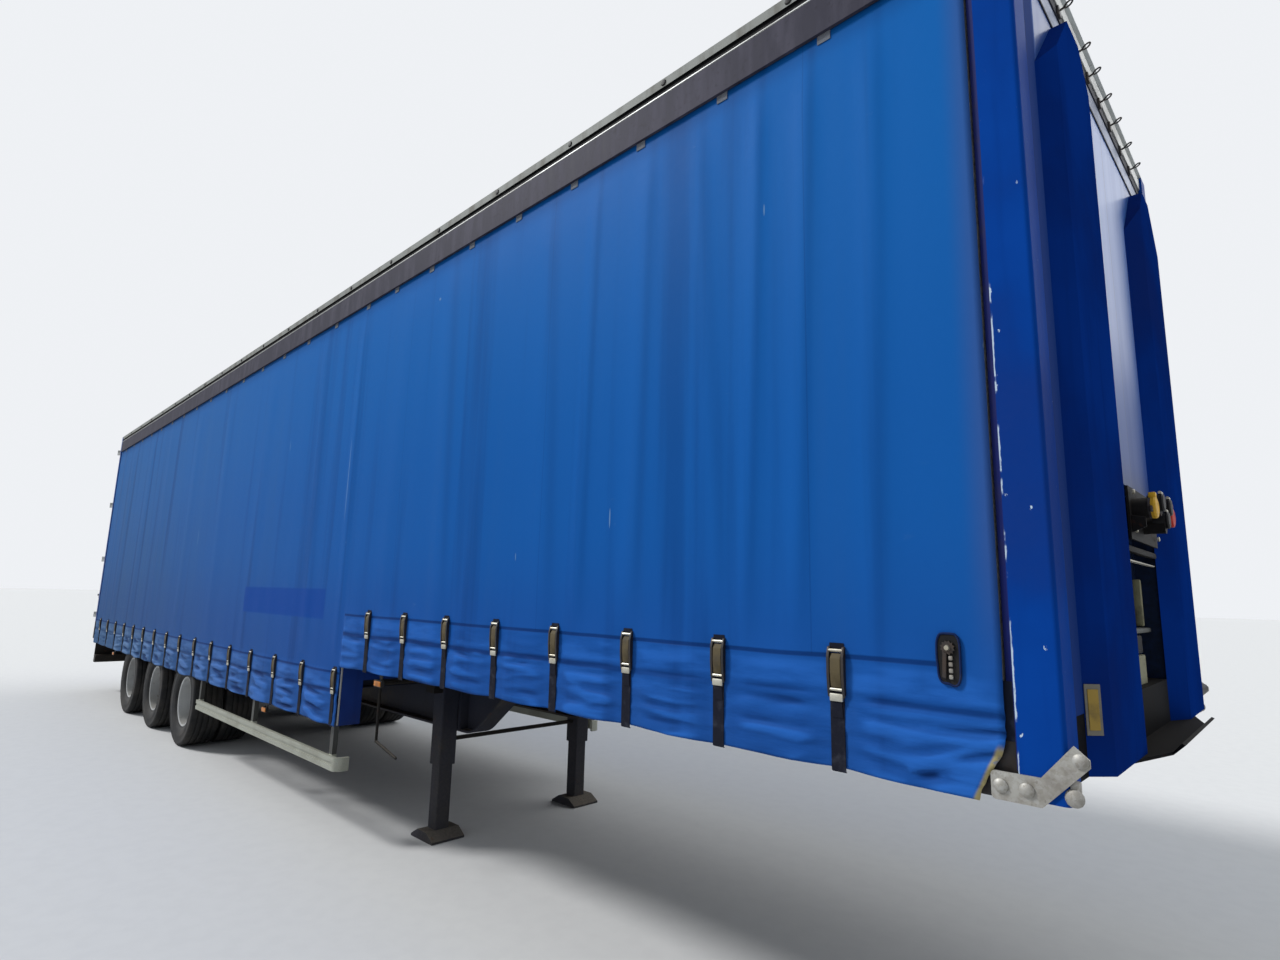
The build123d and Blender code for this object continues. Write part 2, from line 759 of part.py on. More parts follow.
# Axles: tube, brake flanges and spindles turned about the cross axis, and on each side a brake
# chamber on its bracket, whose rod turns the cam shaft through a lever
flange_end = flange_place + flange_wall
chamber_bracket_y = chamber_y + chamber_r * 0.75
with BuildPart() as axles:
    for x in axle_xs:
        axis = Axis((x, 0, tyre_r), (0, 1, 0))
        with BuildSketch(Plane.XY.offset(tyre_r)):
            with BuildLine():
                Polyline(
                    (x, -axle_end),
                    (x, axle_end),
                    (x + spindle_r, axle_end),
                    (x + spindle_r, flange_end),
                    (x + flange_r, flange_end),
                    (x + flange_r, flange_place),
                    (x + axle_tube_r, flange_place),
                    (x + axle_tube_r, -flange_place),
                    (x + flange_r, -flange_place),
                    (x + flange_r, -flange_end),
                    (x + spindle_r, -flange_end),
                    (x + spindle_r, -axle_end),
                    close=True,
                )
            make_face()
        revolve(axis=axis)
        chamber_z = tyre_r + chamber_rise
        for side in (1, -1):
            with BuildSketch(at_y(side * chamber_y)):
                with Locations((x + cam_shaft_x, tyre_r)):
                    Circle(cam_shaft_r)
            extrude(amount=-side * (flange_place - chamber_y))
            with BuildSketch(at_y(side * (chamber_y - 7))):
                Polygon(
                    (x + cam_shaft_x - 22, tyre_r - 12),
                    (x + cam_shaft_x + 22, tyre_r - 12),
                    (x + cam_shaft_x + 12, chamber_z + 12),
                    (x + cam_shaft_x - 12, chamber_z + 12),
                    align=None,
                )
            extrude(amount=-side * 14)
            with BuildSketch(at_x(x + cam_shaft_x)):
                with Locations((side * chamber_y, chamber_z)):
                    Circle(9)
            extrude(amount=chamber_x - cam_shaft_x)
            with BuildSketch(Plane.XZ.offset(-side * chamber_y)):
                Polygon(
                    (x + chamber_x - chamber_length / 2, chamber_z),
                    (x + chamber_x - chamber_length / 2, chamber_z + chamber_r - 25),
                    (x + chamber_x - 12, chamber_z + chamber_r - 8),
                    (x + chamber_x - 12, chamber_z + chamber_r),
                    (x + chamber_x + 12, chamber_z + chamber_r),
                    (x + chamber_x + 12, chamber_z + chamber_r - 8),
                    (x + chamber_x + chamber_length / 2, chamber_z + chamber_r - 25),
                    (x + chamber_x + chamber_length / 2, chamber_z),
                    align=None,
                )
            revolve(axis=Axis((x, side * chamber_y, chamber_z), (1, 0, 0)))
            with BuildSketch(at_y(side * chamber_bracket_y)):
                Polygon(
                    (x + 30, tyre_r - 45),
                    (x + cam_shaft_x, tyre_r - 30),
                    (x + chamber_x - 40, chamber_z - chamber_r + 10),
                    (x + chamber_x - 40, chamber_z + 40),
                    (x + chamber_x - 80, chamber_z + 40),
                    (x + 30, tyre_r + 45),
                    align=None,
                )
            extrude(amount=4, both=True)
axles.part.label = "axles"
export_step(axles.part, "parts/axles.step")

# Hangers ahead of each axle, with the arm's pivot pin across them
arm_bottom = tyre_r + axle_tube_r
arm_eye_z = arm_bottom + 20
eye_r = 34
pivot_r = 20
hanger_half = 50
cheek = 10
with BuildPart() as suspension_hangers:
    for x in axle_xs:
        for outer in (1, -1):
            y = beam_y + outer * (hanger_half - cheek / 2)
            with BuildSketch(at_y(y)):
                Polygon(
                    (x + arm_reach - 45, arm_eye_z - 50),
                    (x + arm_reach + 45, arm_eye_z - 50),
                    (x + arm_reach + 110, beam_bottom),
                    (x + arm_reach - 80, beam_bottom),
                    align=None,
                )
            extrude(amount=cheek / 2, both=True)
        with BuildSketch(at_y(beam_y)):
            with Locations((x + arm_reach, arm_eye_z)):
                Circle(pivot_r)
        extrude(amount=hanger_half, both=True)
    mirror(about=Plane.XZ)
suspension_hangers.part.label = "suspension_hangers"
export_step(suspension_hangers.part, "parts/suspension_hangers.step")

# Trailing arms over the axles
bag_seat_z = arm_bottom - 20
with BuildPart() as trailing_arms:
    with BuildSketch(at_y(beam_y)):
        for x in axle_xs:
            Polygon(
                (x + arm_reach, arm_eye_z - 30),
                (x + arm_reach, arm_eye_z + 30),
                (x + 80, arm_bottom + 75),
                (x - 90, arm_bottom + 70),
                (x - arm_tail + 60, bag_seat_z),
                (x - arm_tail - 80, bag_seat_z),
                (x - arm_tail - 80, bag_seat_z - 20),
                (x - arm_tail + 60, bag_seat_z - 30),
                (x - 90, arm_bottom),
                (x + 80, arm_bottom),
                align=None,
            )
        with Locations(*[(x + arm_reach, arm_eye_z) for x in axle_xs]):
            Circle(eye_r)
        with Locations(*[(x + arm_reach, arm_eye_z) for x in axle_xs]):
            Circle(pivot_r + pin_clearance, mode=Mode.SUBTRACT)
    extrude(amount=arm_width / 2, both=True)
    mirror(about=Plane.XZ)
trailing_arms.part.label = "trailing_arms"
export_step(trailing_arms.part, "parts/trailing_arms.step")

# Air springs between the arms and the beams
with BuildPart() as air_bags:
    for x in axle_xs:
        x_bag = x - arm_tail - 10
        for side in (1, -1):
            with BuildSketch(at_y(side * beam_y)):
                Polygon(
                    (x_bag, bag_seat_z),
                    (x_bag + bag_r * 0.6, bag_seat_z),
                    (x_bag + bag_r * 0.6, bag_seat_z + 50),
                    (x_bag + bag_r * 0.9, bag_seat_z + 60),
                    (x_bag + bag_r, bag_seat_z + 100),
                    (x_bag + bag_r * 0.9, beam_bottom - 15),
                    (x_bag + bag_r * 0.7, beam_bottom),
                    (x_bag, beam_bottom),
                    align=None,
                )
            revolve(axis=Axis((x_bag, side * beam_y, 0), (0, 0, 1)))
air_bags.part.label = "air_bags"
export_step(air_bags.part, "parts/air_bags.step")

# Wheels: tyres as a pair on one side of an axle, and the rims, hub and drum as one turned piece
rim_r = bead_r - bead_clearance
rim_wall = 10
rim_lip = 20
disc_thick = 12
hand_hole_reach = 125
tread_half = tyre_width / 2 - 28
for number, x in enumerate(axle_xs, start=1):
    for side, hand in sides:
        spin = Axis((x, 0, tyre_r), (0, 1, 0))
        with BuildPart() as tyres:
            for place in (1, -1):
                y = side * (twin_y + place * twin_half_pitch)
                with BuildSketch(Plane.XY.offset(tyre_r)):
                    Polygon(
                        (x + bead_r, y - bead_half),
                        (x + bead_r + 84, y - tyre_width / 2),
                        (x + tyre_r - 34, y - tyre_width / 2),
                        (x + tyre_r, y - tread_half),
                        (x + tyre_r, y + tread_half),
                        (x + tyre_r - 34, y + tyre_width / 2),
                        (x + bead_r + 84, y + tyre_width / 2),
                        (x + bead_r, y + bead_half),
                        align=None,
                    )
                revolve(axis=spin)
        tyres.part.label = f"tyres_{number}_{hand}"
        export_step(tyres.part, f"parts/tyres_{number}_{hand}.step")

        with BuildPart() as wheel:
            with BuildSketch(Plane.XY.offset(tyre_r)):
                for place in (1, -1):
                    y = twin_y + place * twin_half_pitch
                    Polygon(
                        (x + rim_r - rim_wall, side * (y - bead_half)),
                        (x + rim_r, side * (y - bead_half)),
                        (x + rim_r, side * (y + bead_half)),
                        (x + rim_r - rim_wall, side * (y + bead_half)),
                        align=None,
                    )
                    Polygon(
                        (x + hub_r - 5, side * twin_y),
                        (x + 167, side * twin_y),
                        (x + rim_r - rim_wall + 2, side * (y - place * 40)),
                        (x + rim_r - rim_wall + 2, side * (y - place * 18)),
                        (x + 165, side * (twin_y + place * disc_thick)),
                        (x + hub_r - 5, side * (twin_y + place * disc_thick)),
                        align=None,
                    )
                Polygon(
                    (x + spindle_r + spindle_clearance, side * 620),
                    (x + hub_r, side * 620),
                    (x + hub_r, side * 985),
                    (x + 80, side * 1000),
                    (x + 70, side * 1060),
                    (x + 50, side * 1072),
                    (x, side * 1072),
                    (x, side * 965),
                    (x + spindle_r + spindle_clearance, side * 965),
                    align=None,
                )
                Polygon(
                    (x + drum_r - 18, side * 610),
                    (x + drum_r, side * 610),
                    (x + drum_r - 6, side * 830),
                    (x + hub_r - 5, side * 845),
                    (x + hub_r - 5, side * 825),
                    (x + drum_r - 24, side * 810),
                    align=None,
                )
            revolve(axis=spin)
            with Locations(Location((x, side * twin_y, tyre_r), (90, 0, 0))):
                with PolarLocations(hand_hole_place, hand_hole_count):
                    Cylinder(hand_hole_r, 2 * hand_hole_reach, mode=Mode.SUBTRACT)
        wheel.part.label = f"wheel_{number}_{hand}"
        export_step(wheel.part, f"parts/wheel_{number}_{hand}.step")

# Mud flaps behind the last axle, hung from a bearer
flap_gap = 122
flap_inner = 640
flap_outer = 1170
flap_bottom = 260
flap_thick = 8
flap_x = min(lower_bearers, key=lambda place: abs(place - axle_xs[-1] + tyre_r + flap_gap))
with BuildPart() as mud_flaps:
    for side in (1, -1):
        y_pair = sorted((side * flap_inner, side * flap_outer))
        box_between((flap_x, y_pair[0], flap_bottom), (flap_x + flap_thick, y_pair[1], lower_bearer_bottom))
mud_flaps.part.label = "mud_flaps"
export_step(mud_flaps.part, "parts/mud_flaps.step")

# Air tanks between the beams, held by bands under two bearers
tank_r = 123
tank_band = 5
tank_y = 180
band_xs = lower_bearers[4:6]
tank_x = sum(band_xs) / 2
tank_z = lower_bearer_bottom - tank_r - tank_band - 10
with BuildPart() as air_tanks:
    for side in (1, -1):
        with Locations(Location((tank_x, side * tank_y, tank_z), (0, 90, 0))):
            Cylinder(tank_r, 860)
        for x in band_xs:
            with Locations(Location((x, side * tank_y, tank_z), (0, 90, 0))):
                Cylinder(tank_r + tank_band, 40)
            with Locations((x, side * tank_y, (tank_z + tank_r + lower_bearer_bottom) / 2)):
                Box(40, 60, lower_bearer_bottom - tank_z - tank_r)
air_tanks.part.label = "air_tanks"
export_step(air_tanks.part, "parts/air_tanks.step")

# Side guards: a rail on posts along each side of the lower deck
guard_lead = 30
guard_tail_gap = 90
guard_front = step_x + guard_lead
guard_rear = axle_xs[0] + tyre_r + guard_tail_gap
guard_bottom = 440
guard_height = 90
guard_face = 1225
guard_section = 25
guard_bend = 55
guard_return = 40
groove_height = 22
groove_depth = 7
post_setbacks = (120, 1750, 3330)
guard_post_length = 50
guard_post_depth = 35
with BuildPart() as side_guards:
    with BuildSketch(Plane.XY.offset(guard_bottom)):
        with BuildLine(Plane.XY):
            run = Line((guard_rear, guard_face), (guard_front - guard_bend, guard_face))
            bend = JernArc(start=run @ 1, tangent=run % 1, radius=guard_bend, arc_size=-90)
            Line(bend @ 1, (bend @ 1) + Vector(0, -guard_return))
            offset(amount=guard_section, side=Side.RIGHT)
        make_face()
    extrude(amount=guard_height)
    with BuildSketch(at_y(guard_face)):
        with Locations(((guard_rear + guard_front - guard_bend) / 2, guard_bottom + guard_height / 2)):
            Rectangle(guard_front - guard_bend - guard_rear, groove_height)
    extrude(amount=groove_depth, mode=Mode.SUBTRACT)
    for setback in post_setbacks:
        box_between(
            (
                step_x - setback - guard_post_length / 2,
                guard_face - guard_section - guard_post_depth,
                guard_bottom,
            ),
            (
                step_x - setback + guard_post_length / 2,
                guard_face - guard_section,
                lower_deck_top - rave_height,
            ),
        )
    mirror(about=Plane.XZ)
side_guards.part.label = "side_guards"
export_step(side_guards.part, "parts/side_guards.step")

# Parking legs, standing on their feet, with the cross shaft between them
leg_x = step_x + leg_setback
leg_y = beam_y + (flange_width + leg_outer) / 2
with BuildPart() as landing_legs:
    for side in (1, -1):
        with BuildSketch(Plane.XY.offset(leg_split)):
            with Locations((leg_x, side * leg_y)):
                RectangleRounded(leg_outer, leg_outer, 12)
        extrude(amount=upper_bearer_bottom - 10 - leg_split)
        with BuildSketch(Plane.XY.offset(50)):
            with Locations((leg_x, side * leg_y)):
                RectangleRounded(leg_inner, leg_inner, 8)
        extrude(amount=leg_split - 50)
        with BuildSketch(at_y(side * leg_y)):
            Polygon(
                (leg_x - foot_length / 2, 0),
                (leg_x + foot_length / 2, 0),
                (leg_x + foot_length / 2, 14),
                (leg_x + 60, 60),
                (leg_x - 60, 60),
                (leg_x - foot_length / 2, 14),
                align=None,
            )
        extrude(amount=foot_width / 2, both=True)
        y_pair = sorted((side * (beam_y + web_thick / 2), side * (beam_y + flange_width / 2)))
        box_between(
            (leg_x - leg_pad_half, y_pair[0], beam_bottom + flange_thick),
            (leg_x + leg_pad_half, y_pair[1], beam_bottom + flange_thick + leg_pad_height),
        )
landing_legs.part.label = "landing_legs"
export_step(landing_legs.part, "parts/landing_legs.step")

crank_y = 1130
shaft_z = 640
shaft_r = 15
crank_z = 1060
crank_shaft_r = 14
crank_rod_r = 9
crank_boss_r = 20
crank_drop = 370
crank_grip = 280
crank_bend = 60
gearbox = 70
gearbox_half = 55
gearbox_height = 150
with BuildPart() as leg_crank:
    with Locations(Location((leg_x, 0, shaft_z), (90, 0, 0))):
        Cylinder(shaft_r, 2 * (leg_y - leg_outer / 2))
    box_between(
        (leg_x - gearbox_half, -leg_y - leg_outer / 2 - gearbox, crank_z - gearbox_height * 0.6),
        (leg_x + gearbox_half, -leg_y - leg_outer / 2, crank_z + gearbox_height * 0.4),
    )
    with BuildSketch(at_y(-leg_y - leg_outer / 2 - gearbox)):
        with Locations((leg_x, crank_z)):
            Circle(crank_shaft_r)
    extrude(amount=crank_y - leg_y - leg_outer / 2 - gearbox)
    with BuildSketch(at_y(crank_boss_r - crank_y)):
        with Locations((leg_x, crank_z)):
            Circle(crank_boss_r)
    extrude(amount=2 * crank_boss_r)
    elbow = Vector(leg_x, -crank_y, crank_z - crank_drop)
    for start, end in (
        (Vector(leg_x, -crank_y, crank_z), elbow),
        (elbow, elbow + Vector(crank_grip, 0, -crank_bend)),
    ):
        with BuildSketch(Plane(origin=start, z_dir=end - start)):
            Circle(crank_rod_r)
        extrude(amount=(end - start).length)
        with Locations(end):
            Sphere(crank_rod_r)
leg_crank.part.label = "leg_crank"
export_step(leg_crank.part, "parts/leg_crank.step")

# Coupling panel in the front wall's recess, with its air and electric sockets
panel_x = front_x + wall_front + 20
panel_half = 280
panel_thick = 8
panel_high = recess_top - 20
panel_low = panel_high - 200
panel_arm_y = 220
air_head_r = 38
air_head_y = 200
plug_r = 32
plug_y = 90
plug_step = 60
socket_length = 70
with BuildPart() as coupling_panel:
    box_between((panel_x, -panel_half, panel_low), (panel_x + panel_thick, panel_half, panel_high))
    panel_z = (panel_low + panel_high) / 2
    for side in (1, -1):
        with Locations(((front_x + wall_front - recess_depth + panel_x) / 2, side * panel_arm_y, panel_z)):
            Box(panel_x - front_x - wall_front + recess_depth, 40, 120)
    with BuildSketch(at_x(panel_x + panel_thick)):
        with Locations((-air_head_y, panel_z + plug_step / 3), (air_head_y, panel_z + plug_step / 3)):
            Circle(air_head_r)
        with Locations((-plug_y, panel_z + plug_step / 2), (0, panel_z - plug_step / 2), (plug_y, panel_z + plug_step / 2)):
            Circle(plug_r)
    extrude(amount=socket_length)
coupling_panel.part.label = "coupling_panel"
export_step(coupling_panel.part, "parts/coupling_panel.step")

# Rear lamp clusters on the board, and side marker lamps on stalks under the raves.
# Markers: place from the front edge, deck top.
marker_rows = ((3790, upper_deck_top), (5760, lower_deck_top), (12000, lower_deck_top))
marker_drop = 410
marker_height = 45
marker_length = 100
marker_thick = 20
marker_inset = 7
stalk_width = 40
stalk_thick = 5
lamp_depth = 40
lamp_width = 380
lamp_height = 130
lamp_y = 950
lamp_z = sill_bottom - 110
lamp_corner = 25
with BuildPart() as lamps:
    for side in (1, -1):
        with Locations((rear_x - lamp_depth / 2, side * lamp_y, lamp_z)):
            Box(lamp_depth, lamp_width, lamp_height)
    fillet(lamps.edges().filter_by(Axis.X), radius=lamp_corner)
    for setback, top in marker_rows:
        for side in (1, -1):
            x = front_x - setback
            marker_back = rave_y - marker_inset - marker_thick
            y_pair = sorted((side * (marker_back - stalk_thick), side * marker_back))
            box_between(
                (x - stalk_width / 2, y_pair[0], top - marker_drop),
                (x + stalk_width / 2, y_pair[1], top - rave_height),
            )
            y_pair = sorted((side * marker_back, side * (marker_back + marker_thick)))
            box_between(
                (x - marker_length / 2, y_pair[0], top - marker_drop),
                (x + marker_length / 2, y_pair[1], top - marker_drop + marker_height),
            )
lamps.part.label = "lamps"
export_step(lamps.part, "parts/lamps.step")

# Bent foot guards: a flat bar along the foot of each corner post's side that rises to the front
# corner, with a tab round the corner
guard_thick = 6
foot_bar_height = 75
foot_bar_tail = 70
foot_bar_flat = 55
foot_bar_rise = 118
foot_bar_end = 45
foot_tab_width = 60
foot_bar_z = post_bottom - 12
foot_front = front_x + wall_front + guard_thick
with BuildPart() as post_feet:
    with BuildSketch(at_y(side_face_y + guard_thick)):
        bar = Polygon(
            (front_x - foot_bar_tail, foot_bar_z),
            (front_x + foot_bar_flat, foot_bar_z),
            (foot_front + foot_bar_end, foot_bar_z + foot_bar_rise),
            (foot_front + foot_bar_end, foot_bar_z + foot_bar_rise + 20),
            (foot_front + 10, foot_bar_z + foot_bar_rise + 50),
            (front_x + foot_bar_flat, foot_bar_z + foot_bar_height),
            (front_x - foot_bar_tail, foot_bar_z + foot_bar_height),
            align=None,
        )
        fillet(bar.vertices().sort_by(Axis.X)[:2], radius=12)
    extrude(amount=guard_thick)
    box_between(
        (front_x + wall_front, side_face_y - foot_tab_width, foot_bar_z + foot_bar_height),
        (foot_front, side_face_y, foot_bar_z + foot_bar_rise + 30),
    )
    mirror(about=Plane.XZ)
post_feet.part.label = "post_feet"
export_step(post_feet.part, "parts/post_feet.step")
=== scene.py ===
"""Step-frame curtain-sided semi trailer: cloth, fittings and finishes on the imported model.

Metres. +X is forward, +Y is the trailer's left side, +Z is up, and the ground is at Z 0.
"""
import logging
import math
from collections.abc import Iterable, Sequence
from dataclasses import dataclass
from enum import Enum
from typing import Any

import bpy
from mathutils import Matrix, Vector, noise


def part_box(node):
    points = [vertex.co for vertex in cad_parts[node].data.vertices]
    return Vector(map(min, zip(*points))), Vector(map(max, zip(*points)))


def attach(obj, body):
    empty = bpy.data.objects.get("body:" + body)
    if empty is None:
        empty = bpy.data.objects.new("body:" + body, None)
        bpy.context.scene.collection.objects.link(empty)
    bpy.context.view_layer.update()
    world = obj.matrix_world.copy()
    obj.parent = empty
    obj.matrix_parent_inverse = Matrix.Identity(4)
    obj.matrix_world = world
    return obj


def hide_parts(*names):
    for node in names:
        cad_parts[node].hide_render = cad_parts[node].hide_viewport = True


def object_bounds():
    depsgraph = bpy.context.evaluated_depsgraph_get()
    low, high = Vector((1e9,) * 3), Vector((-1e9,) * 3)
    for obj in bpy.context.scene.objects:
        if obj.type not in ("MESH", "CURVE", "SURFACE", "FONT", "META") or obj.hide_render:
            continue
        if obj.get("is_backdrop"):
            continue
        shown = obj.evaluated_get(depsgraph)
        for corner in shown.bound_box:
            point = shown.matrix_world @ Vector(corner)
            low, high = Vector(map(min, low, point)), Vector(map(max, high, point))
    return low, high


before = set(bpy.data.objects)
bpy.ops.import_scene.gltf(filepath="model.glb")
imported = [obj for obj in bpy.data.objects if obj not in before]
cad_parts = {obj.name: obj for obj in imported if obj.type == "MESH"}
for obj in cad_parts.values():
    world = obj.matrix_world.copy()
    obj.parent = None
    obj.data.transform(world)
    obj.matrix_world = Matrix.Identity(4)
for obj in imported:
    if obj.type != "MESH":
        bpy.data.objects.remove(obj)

log = logging.getLogger("trailer")
Colour = tuple[float, float, float, float]
Point = Sequence[float]
Pairs = Sequence[tuple[float, float]]
Piece = bpy.types.Object


def tint(red: float, green: float, blue: float) -> Colour:
    """Linear colour of a display colour.

    Args:
        red: Display red, 0 to 255.
        green: Display green, 0 to 255.
        blue: Display blue, 0 to 255.

    Returns:
        The linear colour with full alpha.
    """
    parts = [value / 255 for value in (red, green, blue)]
    linear = [p / 12.92 if p <= 0.04045 else ((p + 0.055) / 1.055) ** 2.4 for p in parts]
    return (*linear, 1.0)


class Hand(Enum):
    """Side of the trailer, with the sign of its Y."""

    LEFT = 1
    RIGHT = -1

    @property
    def word(self) -> str:
        """The side's name in lower case."""
        return self.name.lower()


class Axis(Enum):
    """Axis of the trailer's frame, by its direction."""

    X = (1.0, 0.0, 0.0)
    Y = (0.0, 1.0, 0.0)
    Z = (0.0, 0.0, 1.0)


class Value:
    """Socket of a shader graph that takes part in arithmetic."""

    def __init__(self, graph: "Graph", socket: bpy.types.NodeSocket) -> None:
        """Wraps one output socket of a graph."""
        self.graph = graph
        self.socket = socket

    def _with(self, operation: str, *others: Any) -> "Value":
        """Adds a Math node to the graph."""
        return self.graph.node("ShaderNodeMath", {"operation": operation}, dict(enumerate(others)))

    def __add__(self, other: Any) -> "Value":
        """Sum."""
        return self._with("ADD", self, other)

    def __radd__(self, other: Any) -> "Value":
        """Sum, reflected."""
        return self._with("ADD", other, self)

    def __sub__(self, other: Any) -> "Value":
        """Difference."""
        return self._with("SUBTRACT", self, other)

    def __rsub__(self, other: Any) -> "Value":
        """Difference, reflected."""
        return self._with("SUBTRACT", other, self)

    def __mul__(self, other: Any) -> "Value":
        """Product."""
        return self._with("MULTIPLY", self, other)

    def __rmul__(self, other: Any) -> "Value":
        """Product, reflected."""
        return self._with("MULTIPLY", other, self)

    def __truediv__(self, other: Any) -> "Value":
        """Quotient."""
        return self._with("DIVIDE", self, other)

    def __pow__(self, other: Any) -> "Value":
        """Power."""
        return self._with("POWER", self, other)

    def __abs__(self) -> "Value":
        """Absolute value."""
        return self._with("ABSOLUTE", self)

    def repeat(self, pitch: float) -> "Value":
        """Distance to the nearest whole multiple of a pitch."""
        return self._with("PINGPONG", self, pitch / 2)

    def rise(self, low: float, high: float) -> "Value":
        """Smooth step that goes from 0 at low to 1 at high.

        Args:
            low: Value that gives 0.
            high: Value that gives 1; it may be below low.

        Returns:
            The clamped smooth step.
        """
        options = {"interpolation_type": "SMOOTHSTEP", "clamp": True}
        ends = (low, high, 0.0, 1.0) if low <= high else (high, low, 1.0, 0.0)
        return self.graph.node("ShaderNodeMapRange", options, {0: self, **dict(enumerate(ends, start=1))})

    def within(self, low: float, high: float, soft: float) -> "Value":
        """Mask that is 1 between two values and fades over a soft margin."""
        return self.rise(low - soft, low + soft) * self.rise(high + soft, high - soft)


class Graph:
    """Shader graph of one material or world."""

    def __init__(self, owner: bpy.types.Material | bpy.types.World) -> None:
        """Empties the owner's graph.

        Args:
            owner: Material or world that has the graph.
        """
        owner.use_nodes = True
        self.tree = owner.node_tree
        self.tree.nodes.clear()
        self._place: tuple[Value, Value, Value] | None = None

    def node(
        self,
        kind: str,
        settings: dict[str, Any] | None = None,
        sockets: dict[str | int, Any] | None = None,
        output: str | int = 0,
    ) -> Value:
        """Adds a node.

        Args:
            kind: Node type.
            settings: Properties, set before the sockets.
            sockets: Values or links by input name or number.
            output: Output that is returned.

        Returns:
            The chosen output.
        """
        node = self.tree.nodes.new(kind)
        for key, value in (settings or {}).items():
            setattr(node, key, value)
        for key, value in (sockets or {}).items():
            if isinstance(value, Value):
                self.tree.links.new(value.socket, node.inputs[key])
            else:
                node.inputs[key].default_value = value
        return Value(self, node.outputs[output])

    @property
    def place(self) -> tuple[Value, Value, Value]:
        """X, Y and Z of the shaded point in the trailer's frame.

        Returns:
            The three values, split once for each graph.
        """
        if self._place is None:
            self._place = self.split(self.node("ShaderNodeTexCoord", output="Object"))
        return self._place

    def split(self, vector: Value) -> tuple[Value, Value, Value]:
        """The three parts of a vector."""
        parts = self.node("ShaderNodeSeparateXYZ", sockets={0: vector}).socket.node
        return tuple(Value(self, output) for output in parts.outputs)

    def stretched(self, scale: Point) -> Value:
        """The shaded point's place, scaled along each axis."""
        point = self.node("ShaderNodeTexCoord", output="Object")
        return self.node("ShaderNodeVectorMath", {"operation": "MULTIPLY"}, {0: point, 1: tuple(scale)})

    def grain(self, scale: float, detail: float = 3.0, stretch: Point = (1, 1, 1)) -> Value:
        """Noise between 0 and 1, by its scale, its octaves and a further scale along each axis."""
        sockets = {"Vector": self.stretched(stretch), "Scale": scale, "Detail": detail, "Roughness": 0.55}
        return self.node("ShaderNodeTexNoise", {"noise_dimensions": "3D"}, sockets, "Fac")

    def cells(self, scale: float) -> Value:
        """Random grey of cells, between 0 and 1."""
        sockets = {"Vector": self.stretched((1, 1, 1)), "Scale": scale}
        return self.node("ShaderNodeSeparateColor", {}, {0: self.node("ShaderNodeTexVoronoi", {}, sockets, "Color")})

    def ribs(self, scale: float, axis: Axis) -> Value:
        """Even ribs across an axis."""
        settings = {"wave_type": "BANDS", "bands_direction": axis.name, "wave_profile": "SIN"}
        return self.node("ShaderNodeTexWave", settings, {"Vector": self.stretched((1, 1, 1)), "Scale": scale}, "Fac")

    def cover(self, colour: Any, *coats: tuple[Any, Any]) -> Value:
        """Colours laid over one another.

        Args:
            colour: Colour at the bottom.
            *coats: Colour and share of each coat, from the bottom up.

        Returns:
            The colour seen on top.
        """
        settings = {"data_type": "RGBA", "blend_type": "MIX", "clamp_factor": True}
        for coat, share in coats:
            colour = self.node("ShaderNodeMix", settings, {0: share, 6: colour, 7: coat}, 2)
        return colour

    def facing_up(self) -> Value:
        """How far the surface faces upwards, 0 to 1."""
        return self.split(self.node("ShaderNodeNewGeometry", output="Normal"))[2].rise(0.25, 0.95)

    def bump(self, height: Value, distance: float, strength: float) -> Value:
        """Normal bent by a height in the given distance."""
        sockets = {"Height": height, "Distance": distance, "Strength": strength}
        return self.node("ShaderNodeBump", {}, sockets, "Normal")

    def surface(self, colour: Any, rough: Any, normal: Value | None = None, **more: Any) -> None:
        """Ends the graph in a Principled surface.

        Args:
            colour: Base colour.
            rough: Roughness.
            normal: Bent normal.
            **more: Other sockets, with underscores for spaces.
        """
        sockets: dict[str | int, Any] = {"Base Color": colour, "Roughness": rough}
        if normal is not None:
            sockets["Normal"] = normal
        sockets.update({key.replace("_", " "): value for key, value in more.items()})
        self.end(self.node("ShaderNodeBsdfPrincipled", {}, sockets, "BSDF"), "ShaderNodeOutputMaterial")

    def end(self, shader: Value, kind: str) -> None:
        """Links a shader to an output of the given kind."""
        output = self.tree.nodes.new(kind)
        self.tree.links.new(shader.socket, output.inputs["Surface"])


MADE: dict[Any, bpy.types.Material] = {}


@dataclass(frozen=True)
class Finish:
    """A finish, made into a material at its first use."""

    name: str

    def material(self) -> bpy.types.Material:
        """Makes the material at the first call.

        Returns:
            The finish's material.
        """
        if self not in MADE:
            MADE[self] = bpy.data.materials.new("finish_" + self.name)
            self.paint(Graph(MADE[self]))
        return MADE[self]

    def paint(self, g: Graph) -> None:
        """Fills the graph."""
        raise NotImplementedError


# Folds of the curtains: X at FOLD_LEVEL, lean, half width and depth.
FOLD_LEVEL = 2.6
FOLDS = (
    (6.33, 0.02, 0.050, 0.006), (6.05, 0.03, 0.048, 0.008), (5.83, 0.03, 0.043, 0.008), (5.60, -0.06, 0.07, 0.006),
    (5.22, 0.02, 0.060, 0.007), (4.87, 0.02, 0.044, 0.007), (4.55, -0.04, 0.09, 0.006), (4.02, 0.03, 0.12, 0.004),
    (3.56, -0.05, 0.09, 0.006), (2.95, 0.04, 0.12, 0.004), (2.27, 0.0, 0.035, 0.008), (1.62, -0.05, 0.08, 0.006),
    (0.3, 0.03, 0.12, 0.004), (-0.9, -0.03, 0.10, 0.005), (-2.1, 0.03, 0.12, 0.005), (-3.4, -0.02, 0.10, 0.005),
    (-4.5, 0.03, 0.10, 0.005), (-5.7, 0.02, 0.09, 0.005), (-6.3, -0.02, 0.06, 0.004),
)


